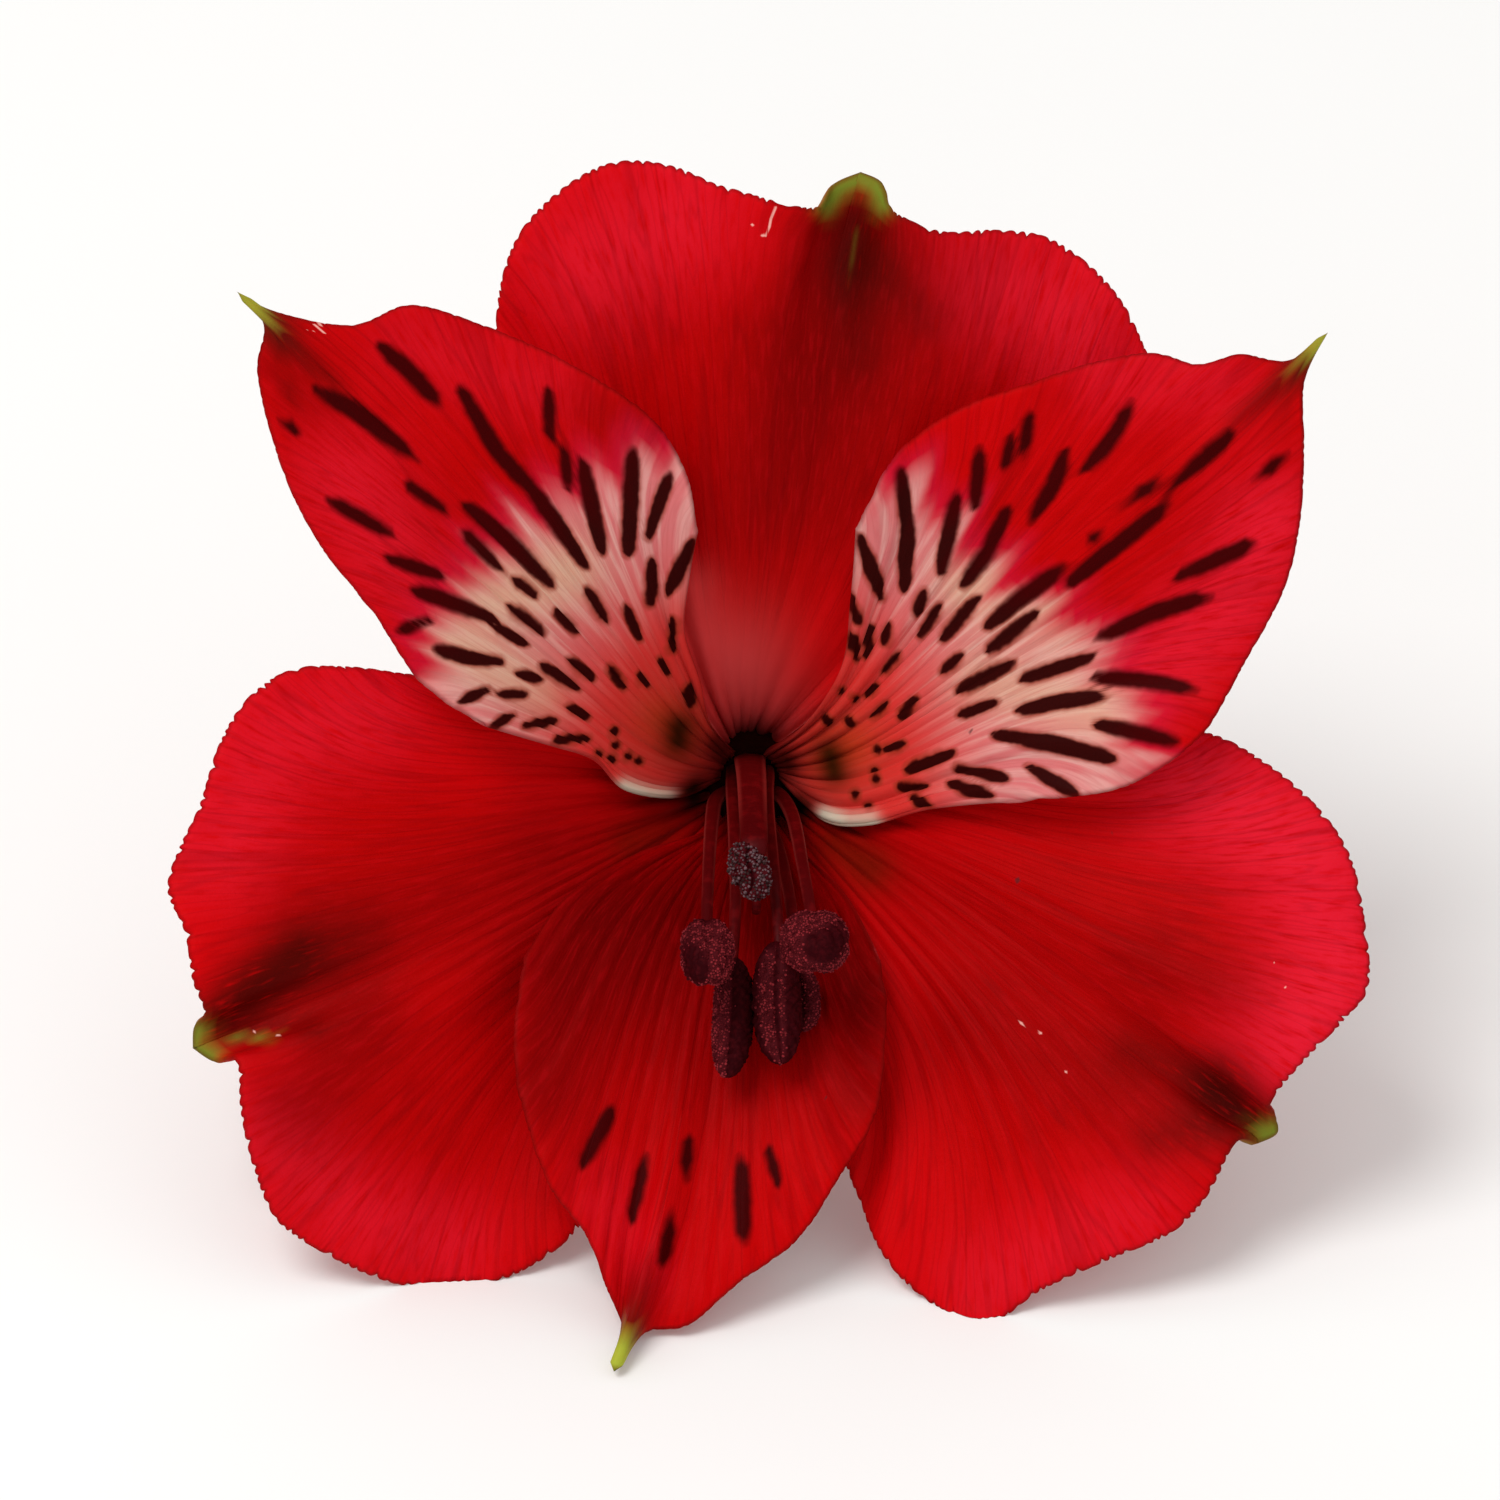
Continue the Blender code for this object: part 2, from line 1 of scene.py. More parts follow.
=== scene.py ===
"""The looks of one alstroemeria bloom, picked with its stalk and lying on a table.

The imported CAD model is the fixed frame. Every node of it is replaced by a finer piece of
the same form: six petals with toothed or waved margins, veins and flecks, six stamens with
their pollen, the style, and the ribbed ovary on its stalk.

Lengths are in millimetres in the bloom's own frame, as in the part's source: the origin is
the middle of the ovary's top, x points to the right of the face as it is seen from the
front, y up the face, and z out of the throat.
"""

import math

import bpy
import numpy as np
from mathutils import Matrix, Vector
from mathutils.kdtree import KDTree


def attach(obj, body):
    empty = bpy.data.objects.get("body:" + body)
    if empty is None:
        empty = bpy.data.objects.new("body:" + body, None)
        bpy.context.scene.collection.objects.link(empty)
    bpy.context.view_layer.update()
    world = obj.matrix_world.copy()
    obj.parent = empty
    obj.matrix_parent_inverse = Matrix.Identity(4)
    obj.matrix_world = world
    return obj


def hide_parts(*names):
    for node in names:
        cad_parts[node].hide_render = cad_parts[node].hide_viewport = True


bl_info = {
    "name": "Alstroemeria bloom",
    "version": (1, 0, 0),
    "blender": (4, 5, 0),
    "location": "3D View > Sidebar > Bloom",
    "description": "Petals, stamens, stalk and stage of one alstroemeria bloom",
    "category": "Add Mesh",
}

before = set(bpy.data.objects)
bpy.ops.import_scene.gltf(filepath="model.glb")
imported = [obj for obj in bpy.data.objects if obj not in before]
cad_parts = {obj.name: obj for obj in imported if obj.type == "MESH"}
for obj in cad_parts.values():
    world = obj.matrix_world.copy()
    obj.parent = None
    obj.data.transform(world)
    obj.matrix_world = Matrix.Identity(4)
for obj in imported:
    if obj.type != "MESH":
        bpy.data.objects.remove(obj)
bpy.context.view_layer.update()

MM = 0.001

# How the bloom lies: the throat's axis rises by this angle above the table.
FACE_TILT_DEG = 36.0

# The funnel that every petal follows from its claw, as in the part's source.
FUNNEL_DEPTH = 27.0
FUNNEL_OPENING = 12.0
FUNNEL_START = 0.68
SEAT_GAP = 0.35
RISE_EASE = 0.09
TURN_EASE = 0.03
SHARP_FROM = 0.8
PLAN_ROWS = 36
PLAN_COLUMNS = 40
PLAN_ROUNDS = 900
PLAN_EVENING = 4.0
KEEL_HALF_WIDTH = 3.0
OUTER_CLAW = {"radius": 3.35, "half_angle": 42.0}
INNER_CLAW = {"radius": 2.15, "half_angle": 30.0}

OUTER = {"claw": OUTER_CLAW, "keel": 1.1}
INNER = {"claw": INNER_CLAW, "keel": 0.6}

# Each petal's outline as x, y: the side that leaves the claw clockwise, and the side
# that leaves it counter-clockwise. Between their ends the margin runs round the tip as
# x, y and how far it stands in front of the funnel. "point" is the tip's index in it.
TEPALS = {
    "tepal_outer_top": {
        **OUTER,
        "azimuth": 90.0,
        "point": 9,
        "first_side": [(5.8, 5.0), (11.8, 9.6), (18.6, 15.0), (23.6, 20.6)],
        "margin": [
            (24.9, 26.2, -1.8), (23.4, 29.4, -2.0), (21.2, 32.0, -2.0), (18.4, 33.8, -1.6),
            (15.2, 34.2, -1.0), (12.0, 34.1, -0.2), (9.6, 34.9, 0.3), (8.7, 35.6, 0.0),
            (8.2, 37.2, -1.4), (6.9, 37.9, -2.2), (5.2, 37.1, -1.4), (4.2, 35.6, 0.0), (1.4, 36.0, 0.3),
            (-2.0, 37.0, -0.2), (-5.0, 38.2, -0.8), (-8.6, 38.4, -1.4), (-12.0, 36.6, -2.0),
            (-14.5, 33.8, -2.4), (-15.8, 29.6, -2.4), (-15.8, 24.5, -2.0),
        ],
        "second_side": [(-4.6, 5.2), (-9.0, 11.4), (-13.2, 18.0)],
    },
    "tepal_outer_left": {
        **OUTER,
        "azimuth": 210.0,
        "point": 12,
        "first_side": [(-8.4, 2.3), (-14.4, 4.6)],
        "margin": [
            (-20.5, 6.5, -1.4), (-25.0, 7.1, -1.5), (-28.6, 6.9, -1.8), (-31.4, 5.0, -2.0),
            (-33.2, 2.0, -2.0), (-34.3, -1.6, -1.6), (-35.5, -4.2, -1.2), (-36.2, -6.8, -0.9),
            (-35.1, -9.6, -0.2), (-34.6, -12.4, 0.3), (-33.9, -14.4, 0.2), (-34.6, -15.4, -1.0),
            (-34.7, -16.7, -1.6), (-33.4, -17.5, -1.0), (-31.9, -17.5, 0.2), (-31.6, -20.6, 0.0),
            (-30.8, -24.2, -0.8), (-29.3, -27.5, -1.8), (-26.0, -29.8, -3.4), (-22.0, -31.5, -4.7),
            (-18.0, -31.7, -4.9), (-14.2, -30.7, -4.6), (-10.6, -27.8, -3.6), (-8.0, -22.0, -2.6),
        ],
        "second_side": [(-3.2, -8.0), (-5.4, -15.0)],
    },
    "tepal_outer_right": {
        **OUTER,
        "azimuth": 330.0,
        "point": 10,
        "first_side": [(2.8, -7.8), (4.0, -13.6)],
        "margin": [
            (4.9, -19.0, -2.2), (6.3, -25.0, -3.0), (8.6, -30.1, -2.6), (11.8, -33.0, -2.5),
            (14.6, -34.1, -2.2), (18.0, -31.8, -1.4), (22.4, -29.8, -1.0), (26.2, -28.1, -0.8),
            (28.4, -25.8, -0.4), (30.2, -22.5, 0.2), (31.6, -22.6, -0.8), (32.8, -22.0, -1.4),
            (32.7, -20.9, -0.8), (32.4, -19.9, 0.2), (34.2, -17.6, 0.2), (36.8, -15.0, 0.0),
            (38.4, -12.8, -0.6), (38.2, -8.6, -1.2), (37.3, -4.6, -1.6), (35.2, -1.5, -1.8),
            (32.0, 1.2, -1.8), (28.4, 3.0, -1.6), (23.0, 3.2, -1.4),
        ],
        "second_side": [(8.6, 0.6), (15.6, 1.6)],
    },
    "tepal_inner_left": {
        **INNER,
        "azimuth": 150.0,
        "point": 8,
        "first_side": [(-2.6, 3.6), (-3.2, 6.4), (-4.1, 9.4), (-3.8, 12.4)],
        "margin": [
            (-3.3, 15.4, 3.1), (-3.9, 18.8, 3.2), (-6.4, 22.8, 3.0), (-11.0, 25.7, 2.8),
            (-16.4, 28.1, 2.6), (-20.9, 29.4, 2.4), (-24.6, 28.1, 3.2), (-29.2, 28.9, 3.6),
            (-31.6, 30.1, 4.2), (-30.0, 28.1, 3.6), (-30.4, 25.0, 3.0), (-29.0, 19.4, 2.6),
            (-26.6, 14.5, 2.4), (-23.4, 10.4, 2.3), (-20.6, 6.3, 2.3), (-16.6, 3.2, 2.4),
        ],
        "second_side": [(-4.6, -1.2), (-8.0, -0.7), (-9.9, 1.2), (-12.6, 2.1)],
    },
    "tepal_inner_right": {
        **INNER,
        "azimuth": 30.0,
        "point": 9,
        "first_side": [(4.6, -2.6), (7.4, -2.9), (11.0, -1.9)],
        "margin": [
            (16.0, -1.3, 2.4), (20.6, -1.0, 2.4), (24.6, 0.2, 2.3), (28.2, 3.0, 2.3), (30.6, 7.3, 2.3),
            (33.0, 11.7, 2.4), (34.0, 16.0, 2.6), (34.2, 20.6, 3.0), (34.2, 24.6, 3.6),
            (35.6, 27.6, 4.2), (33.2, 25.9, 3.6), (30.2, 26.3, 3.2), (27.6, 25.7, 3.0),
            (24.4, 26.4, 2.6), (18.6, 25.1, 2.6), (12.8, 22.9, 2.8), (8.7, 19.8, 3.0), (6.6, 15.6, 3.1),
        ],
        "second_side": [(3.6, 3.6), (5.8, 7.2), (6.3, 11.4)],
    },
    "tepal_inner_lower": {
        **INNER,
        "azimuth": 270.0,
        "point": 7,
        "first_side": [(-3.0, -3.4), (-7.0, -4.6), (-11.4, -7.2)],
        "margin": [
            (-14.0, -11.0, 2.1), (-14.7, -15.5, 2.3), (-14.2, -20.0, 2.1), (-12.6, -25.0, 1.6),
            (-10.2, -28.2, 1.3), (-8.9, -31.5, 1.0), (-7.9, -34.1, 0.9), (-8.4, -36.5, 3.6),
            (-6.5, -34.3, 0.8), (-3.8, -33.8, 0.5), (-0.6, -31.2, 0.8), (3.2, -28.2, 1.3),
            (6.0, -24.0, 1.7), (7.9, -20.0, 2.0), (8.6, -15.0, 2.2), (7.9, -10.6, 1.9),
        ],
        "second_side": [(3.2, -4.4), (6.0, -7.2)],
    },
}

# Each stamen: its filament's points, the filament's half-width at its foot and at its
# anther, the way the anther points, and the anther's length, width and depth.
STAMENS = {
    "left": {
        "path": [
            (-1.04, -0.6, 0.35), (-2.1, -1.2, 6.0), (-2.4, -2.6, 12.0), (-2.6, -5.8, 18.8),
            (-2.7, -9.2, 22.9),
        ],
        "thread": (0.56, 0.34),
        "anther": (0.02, -0.38, 0.92),
        "size": (6.6, 3.3, 3.4),
    },
    "right": {
        "path": [
            (1.04, -0.6, 0.35), (1.9, -1.0, 6.0), (2.7, -2.4, 12.0), (3.3, -5.4, 19.0),
            (3.9, -9.0, 23.7),
        ],
        "thread": (0.56, 0.34),
        "anther": (0.03, -0.26, 0.96),
        "size": (6.4, 4.2, 3.6),
    },
    "lower_left": {
        "path": [
            (-1.04, 0.6, 0.35), (-1.1, -0.6, 6.4), (-1.0, -3.0, 12.4), (-0.9, -7.2, 18.4),
            (-1.05, -10.7, 21.2),
        ],
        "thread": (0.5, 0.34),
        "anther": (-0.05, -0.95, 0.30),
        "size": (7.8, 2.6, 2.4),
    },
    "lower_middle": {
        "path": [
            (1.04, 0.6, 0.35), (1.1, 0.2, 6.0), (1.1, -1.6, 12.6), (1.5, -5.8, 18.9), (1.8, -9.7, 21.6),
        ],
        "thread": (0.5, 0.34),
        "anther": (0.02, -0.96, 0.28),
        "size": (7.9, 3.1, 2.6),
    },
    "lower_right": {
        "path": [
            (0.0, -1.2, 0.35), (0.7, -2.2, 5.6), (1.8, -4.4, 11.0), (2.6, -8.1, 16.8),
            (2.95, -11.3, 19.4),
        ],
        "thread": (0.5, 0.34),
        "anther": (0.08, -0.96, 0.29),
        "size": (4.2, 2.2, 1.8),
    },
    "shed": {
        "path": [
            (0.0, 1.3, 0.35), (0.0, 1.1, 6.0), (0.1, 0.0, 12.4), (0.2, -2.4, 18.6), (0.25, -3.7, 21.6),
        ],
        "thread": (1.05, 0.85),
        "anther": (-0.12, -0.93, 0.35),
        "size": (3.5, 2.3, 1.8),
    },
}
STYLE_PATH = [
    (0.0, 0.0, 0.35), (0.0, -0.5, 6.0), (0.1, -2.2, 11.0), (0.3, -5.2, 15.4), (0.4, -7.6, 17.4),
]
STYLE_HALF_WIDTHS = (0.4, 0.28)
STYLE_LEAD = (0.0, -0.7, 0.6)

STALK_RADIUS = 1.3
STALK_ON_TABLE = 15.0
STALK_DRIFT = 5.0
RIBS = 6
RIB_DEPTH = 0.09

# The ovary and the stalk's end from the top down: depth below the top, and radius.
OVARY_OUTLINE = [
    (0.0, 3.85), (1.0, 4.0), (2.4, 3.95), (4.2, 3.4), (6.0, 2.5), (7.5, 1.75), (8.8, 1.4), (10.5, 1.3),
]
OVARY_LENGTH = 8.8

# Soft strokes of colour on each petal, as the points they follow, their radius and
# their strength from 0 to 1. They are seen from the front, in x and y. Shade is painted
# shade and light a painted highlight. The dark strokes by the tips are a stain with the
# painted shade of the folded tip, the salmon pink on the claws is painted brighter than it
# is as painted light, and the pockets by the claws are painted shade.
STROKES = {
    "tepal_outer_top": {
        "shade": [
            ([(6.6, 34.0), (6.2, 31.0)], 3.6, 0.8), ([(8.0, 30.0), (5.6, 27.0)], 6.0, 0.62),
            ([(4.2, 24.0), (2.6, 19.0)], 5.6, 0.6),
        ],
        "stain_and_fold_shade": [
            ([(6.8, 34.8), (6.5, 32.0)], 2.2, 0.8), ([(6.4, 31.5), (6.9, 26.5)], 1.5, 0.4),
            ([(7.6, 33.0), (11.0, 28.5)], 1.3, 0.35),
        ],
        "light": [
            ([(-5.0, 35.0), (-10.0, 32.0)], 4.4, 0.55),
            ([(15.0, 31.0), (20.0, 29.0), (21.5, 25.0)], 4.2, 0.6),
        ],
        "salmon_and_painted_light": [([(0.3, 3.2), (-1.0, 6.6)], 3.6, 0.9), ([(-3.0, 9.0), (-3.6, 12.0)], 1.6, 0.5)],
        "pocket_shade": [([(0.1, 2.4), (0.3, 2.6)], 1.3, 1.0)],
        "green": [
            ([(6.7, 34.0), (6.35, 31.8)], 0.16, 0.12),
            ([(4.6, 35.8), (5.4, 36.9), (6.9, 37.6), (8.0, 37.0), (8.5, 35.8)], 0.62, 1.0),
        ],
    },
    "tepal_outer_left": {
        "shade": [
            ([(-7.0, -2.0), (-13.0, -3.0)], 3.2, 0.3), ([(-8.0, -6.0), (-14.0, -12.0)], 3.4, 0.5),
            ([(-13.0, -5.5), (-20.0, -7.8), (-28.0, -9.6)], 3.8, 0.42),
            ([(-24.0, -15.0), (-28.0, -20.0)], 3.4, 0.6), ([(-13.0, -18.0), (-12.6, -25.0)], 3.0, 0.25),
        ],
        "stain_and_fold_shade": [
            ([(-33.2, -15.0), (-31.0, -13.0), (-28.0, -10.8)], 2.0, 0.85),
            ([(-30.5, -13.2), (-24.5, -10.0)], 2.4, 0.45), ([(-31.5, -15.6), (-27.0, -15.4)], 1.2, 0.5),
        ],
        "light": [
            ([(-24.0, 4.5), (-30.0, 2.5), (-33.0, -4.0)], 3.6, 0.5),
            ([(-30.0, -22.0), (-25.0, -27.0), (-19.0, -29.0)], 3.0, 0.45),
        ],
        "haze": [([(-5.5, -3.4), (-7.5, -4.0)], 1.6, 0.4)],
        "pocket_shade": [([(-3.6, -0.6), (-3.8, -1.0)], 1.2, 1.0)],
        "green": [
            ([(-32.8, -16.0), (-29.6, -16.2)], 0.25, 0.6),
            ([(-34.5, -15.4), (-34.8, -16.5), (-33.6, -17.3)], 0.7, 1.0),
        ],
    },
    "tepal_outer_right": {
        "shade": [
            ([(7.0, -5.0), (15.0, -8.5), (24.0, -12.5)], 4.4, 0.3),
            ([(14.0, -15.0), (24.0, -20.0), (28.0, -21.5)], 3.6, 0.4),
            ([(24.0, -11.0), (30.0, -13.0)], 2.4, 0.35),
        ],
        "stain_and_fold_shade": [
            ([(31.4, -21.4), (28.8, -19.2)], 2.2, 0.95), ([(28.8, -18.8), (24.0, -17.0)], 2.0, 0.5),
            ([(29.6, -21.0), (25.0, -22.4)], 1.4, 0.45),
        ],
        "light": [
            ([(28.0, 0.0), (34.5, -4.5), (36.6, -11.0), (34.0, -16.0)], 4.2, 0.95),
            ([(24.0, -27.0), (15.0, -31.5)], 3.0, 0.4),
        ],
        "haze": [([(5.4, -4.2), (7.6, -5.6)], 1.7, 0.6)],
        "pocket_shade": [([(3.1, -1.6), (3.4, -2.0)], 1.2, 1.0)],
        "green": [([(32.0, -22.2), (32.9, -21.6)], 0.75, 1.0)],
    },
    "tepal_inner_left": {
        "shade": [([(-4.6, 20.0), (-9.0, 23.0)], 2.6, 0.4), ([(-27.5, 24.0), (-29.0, 26.5)], 2.4, 0.35)],
        "light": [([(-25.0, 18.5), (-22.0, 13.5)], 3.4, 0.5), ([(-13.0, 24.5), (-21.0, 27.0)], 2.6, 0.3)],
        "stain_and_fold_shade": [([(-29.0, 27.4), (-25.8, 24.6)], 0.7, 0.5), ([(-29.2, 27.0), (-28.4, 23.6)], 0.5, 0.4)],
        "cream": [
            ([(-11.5, 13.0), (-16.2, 11.2)], 2.4, 0.75), ([(-18.5, 8.4), (-13.0, 5.4)], 1.9, 0.7),
        ],
        "amber": [([(-4.8, 3.0), (-5.6, 3.8)], 2.0, 0.8)],
        "haze": [([(-4.7, 2.5), (-4.6, 3.4)], 1.1, 1.0)],
        "pocket_shade": [([(-3.6, -0.6), (-3.9, -0.9)], 1.0, 1.0), ([(-2.2, 2.3), (-2.0, 2.0)], 0.9, 0.8)],
        "white": [([(-8.0, -0.6), (-6.5, -1.1), (-5.2, -1.3)], 0.6, 1.0)],
        "brown": [([(-29.2, 27.9), (-30.3, 29.0)], 1.1, 0.9)],
        "needle": [([(-30.7, 29.4), (-31.6, 30.1)], 0.85, 1.0)],
    },
    "tepal_inner_right": {
        "light": [
            ([(25.0, 7.0), (30.0, 11.0), (32.0, 16.0)], 3.2, 0.7), ([(22.0, 25.0), (29.0, 24.5)], 2.4, 0.4),
        ],
        "stain_and_fold_shade": [([(32.8, 24.6), (29.8, 22.0)], 0.7, 0.5), ([(33.0, 24.2), (32.6, 21.0)], 0.5, 0.4)],
        "cream": [
            ([(13.8, 12.2), (19.5, 10.6)], 2.3, 0.7), ([(14.5, 6.2), (22.0, 4.4)], 2.2, 0.6),
        ],
        "amber": [([(5.6, 1.5), (6.4, 2.0)], 2.1, 0.85)],
        "haze": [([(5.2, 1.6), (5.5, 0.5)], 1.1, 1.0)],
        "pocket_shade": [([(3.1, -1.6), (3.5, -1.9)], 1.0, 1.0), ([(2.4, 1.3), (2.7, 0.8)], 0.9, 0.8)],
        "white": [([(4.8, -2.4), (6.4, -2.9), (7.8, -2.8)], 0.6, 1.0)],
        "brown": [([(33.6, 25.2), (34.5, 26.4)], 1.1, 0.9)],
        "needle": [([(34.9, 26.9), (35.6, 27.6)], 0.85, 1.0)],
    },
    "tepal_inner_lower": {
        "shade": [
            ([(-9.0, -8.5), (0.0, -8.0), (5.0, -11.0)], 6.2, 0.95),
            ([(-11.5, -13.0), (-12.8, -19.0)], 4.0, 0.7), ([(6.6, -13.0), (7.2, -19.0)], 3.6, 0.55),
            ([(-5.0, -14.0), (-2.0, -19.0)], 4.4, 0.45),
        ],
        "light": [([(-6.5, -30.5), (-9.0, -26.0)], 2.2, 0.25)],
        "stain_and_fold_shade": [([(-7.4, -33.6), (-6.6, -30.6)], 0.8, 0.5)],
        "brown": [([(-7.6, -34.2), (-7.9, -35.0)], 1.0, 0.9)],
        "needle": [([(-8.1, -35.4), (-8.4, -36.5)], 0.85, 1.0)],
    },
}

# Where the pale throat of the upper inner petals gives way to red: the direction seen
# from the throat in degrees, and the distance from it.
PALE_REACH = {
    "tepal_inner_left": [
        (95, 20.5), (107, 21.4), (120, 21.0), (135, 21.5), (150, 21.8), (158, 22.0), (175, 18.0),
    ],
    "tepal_inner_right": [
        (-12, 25.0), (0, 25.0), (22, 23.5), (35, 20.5), (45, 20.0), (66, 21.5), (80, 20.5),
    ],
}

# Flecks on the inner petals, each as the points that it runs through.
FLECKS = {
    "tepal_inner_left": [
        [(-22.9, 26.9), (-21.0, 25.2), (-19.2, 23.2)], [(-18.0, 24.4), (-15.8, 20.5), (-13.5, 18.0)],
        [(-13.8, 18.4), (-12.2, 16.2), (-10.3, 13.4)], [(-12.5, 24.2), (-12.4, 21.2)],
        [(-11.5, 20.8), (-11.3, 18.2)], [(-10.4, 19.8), (-9.2, 14.3)], [(-7.3, 20.5), (-7.6, 14.2)],
        [(-5.0, 19.0), (-6.4, 15.2)], [(-3.6, 15.0), (-5.1, 11.8)], [(-6.2, 13.8), (-6.3, 11.1)],
        [(-26.8, 24.2), (-24.0, 22.6), (-20.8, 20.0)], [(-28.9, 22.3), (-27.8, 21.4)],
        [(-21.3, 18.4), (-19.0, 16.8)], [(-17.7, 17.1), (-15.0, 14.9), (-12.4, 12.2)],
        [(-17.8, 15.5), (-15.7, 13.3)], [(-26.0, 17.4), (-22.3, 15.3)], [(-22.6, 13.8), (-19.1, 12.7)],
        [(-14.8, 12.6), (-13.4, 11.5)], [(-20.9, 11.8), (-18.6, 11.1), (-16.0, 10.0)],
        [(-21.8, 9.3), (-19.9, 10.0)], [(-15.1, 10.9), (-13.0, 9.2)], [(-12.2, 10.6), (-10.9, 9.3)],
        [(-10.3, 12.0), (-9.1, 10.0)], [(-7.8, 11.0), (-7.0, 9.0)], [(-4.8, 10.2), (-5.0, 8.2)],
        [(-16.0, 9.6), (-14.0, 8.5)], [(-19.6, 8.2), (-17.6, 7.6), (-15.6, 7.4)],
        [(-14.6, 6.7), (-13.2, 6.3)], [(-13.1, 7.2), (-10.9, 5.8)], [(-11.4, 7.6), (-10.0, 6.4)],
        [(-8.9, 7.2), (-8.0, 5.9)], [(-7.1, 6.7), (-6.6, 6.0)], [(-5.7, 7.7), (-5.2, 6.8)],
        [(-4.0, 6.0), (-3.8, 4.8)], [(-18.1, 4.8), (-16.4, 5.7)], [(-15.7, 5.4), (-14.1, 5.4)],
        [(-11.5, 4.6), (-10.3, 4.0)], [(-16.1, 3.3), (-14.9, 4.0)], [(-14.2, 3.3), (-12.3, 3.8)],
        [(-12.3, 2.4), (-10.3, 2.7)], [(-8.7, 3.1)], [(-8.6, 2.2)], [(-9.6, 1.7)], [(-8.8, 1.4)],
        [(-7.8, 1.5)], [(-7.2, 1.2)],
    ],
    "tepal_inner_right": [
        [(9.3, 19.2), (9.8, 15.5), (9.7, 12.0)], [(12.9, 17.7), (11.9, 13.0)],
        [(14.3, 20.5), (14.0, 17.0)], [(16.2, 21.3), (15.8, 19.4)], [(17.3, 22.7), (16.9, 20.3)],
        [(19.6, 20.4), (18.8, 18.2), (17.5, 16.2)], [(23.6, 23.3), (22.4, 21.0), (20.8, 19.3)],
        [(16.0, 16.9), (14.9, 14.4), (13.3, 12.2)], [(6.9, 15.2), (8.2, 11.5)],
        [(6.3, 11.6), (6.8, 10.0)], [(10.9, 11.9), (10.4, 10.4)], [(11.9, 11.0), (10.7, 9.1)],
        [(14.3, 11.4), (12.1, 8.8)], [(19.4, 13.2), (17.0, 11.4), (14.8, 9.6)],
        [(17.9, 10.5), (14.9, 8.1)], [(25.6, 18.7), (23.4, 17.2)], [(22.0, 15.5), (21.0, 14.8)],
        [(30.0, 21.6), (28.4, 20.2), (26.5, 18.5)], [(26.0, 17.2), (23.0, 14.8), (19.8, 12.2)],
        [(33.0, 20.2), (31.3, 18.6)], [(31.2, 14.7), (26.5, 12.6)],
        [(28.4, 11.4), (25.0, 10.4), (21.8, 8.9)], [(7.6, 9.7), (7.4, 7.8)], [(8.8, 9.8), (8.5, 8.6)],
        [(6.4, 9.2), (6.7, 7.7)], [(9.4, 8.0), (8.4, 6.8)], [(13.3, 7.9), (12.1, 6.8)],
        [(16.5, 7.4), (13.1, 5.6)], [(21.3, 7.7), (17.0, 6.3)], [(21.5, 6.4), (24.4, 6.2), (27.5, 5.6)],
        [(15.5, 4.9), (13.2, 4.1)], [(22.0, 5.2), (19.4, 4.9), (16.8, 4.3)], [(21.5, 3.5), (26.4, 2.4)],
        [(15.4, 2.8), (19.0, 2.3), (22.7, 1.3)], [(10.5, 5.2), (9.5, 4.0)], [(8.7, 4.9), (7.8, 4.0)],
        [(8.1, 6.0), (7.5, 5.3)], [(6.7, 5.2)], [(6.4, 3.7)], [(5.8, 5.7)], [(5.0, 3.8)],
        [(9.8, 2.3), (8.6, 1.9)], [(12.8, 1.7), (10.0, 0.6)], [(13.0, 0.8), (16.1, 0.0)],
        [(17.4, 0.8), (20.3, -0.9)], [(12.6, -0.3), (15.2, -1.0)], [(9.5, -0.4), (11.2, -0.4)],
        [(10.3, -1.2), (11.4, -1.6)], [(8.2, 1.9)], [(8.0, 0.6)], [(8.1, 0.0)], [(7.6, -1.6)],
        [(6.8, -0.9)],
    ],
    "tepal_inner_lower": [
        [(-8.6, -20.5), (-10.5, -24.0)], [(-6.5, -23.5), (-7.4, -27.5)], [(-3.9, -22.3), (-4.1, -24.7)],
        [(-5.0, -27.0), (-5.6, -30.2)], [(-0.5, -23.6), (-0.4, -28.6)], [(1.2, -23.0), (1.8, -25.2)],
    ],
}

# Nicks in the skin, pale and fine, and small grey specks of dust or old pollen.
NICKS = {
    "tepal_outer_top": [[(0.1, 34.6), (0.9, 33.7), (1.3, 34.6)], [(1.3, 34.9), (1.6, 35.6)]],
    "tepal_outer_left": [[(-31.2, -15.6), (-29.9, -16.1), (-29.0, -16.0)], [(-34.2, -19.4), (-33.4, -19.6)]],
    "tepal_outer_right": [
        [(16.4, -14.7), (17.4, -15.6), (18.2, -15.9)], [(19.0, -17.8), (20.4, -18.6)],
        [(21.6, -19.2), (22.8, -19.6)], [(32.6, -11.4), (33.0, -12.4), (33.4, -13.2)],
    ],
    "tepal_inner_left": [[(-27.3, 27.9), (-26.6, 28.3), (-26.2, 27.6)], [(-27.2, 27.2), (-26.9, 27.8)]],
}
SPECKS = {
    "tepal_outer_right": [(16.8, -6.3), (11.6, -15.1), (22.5, -3.4)],
    "tepal_inner_left": [(-3.8, 11.2)],
    "tepal_inner_right": [(13.9, 3.0)],
    "tepal_inner_lower": [(-6.4, -17.5), (4.6, -19.8)],
    "tepal_outer_left": [],
    "tepal_outer_top": [],
}

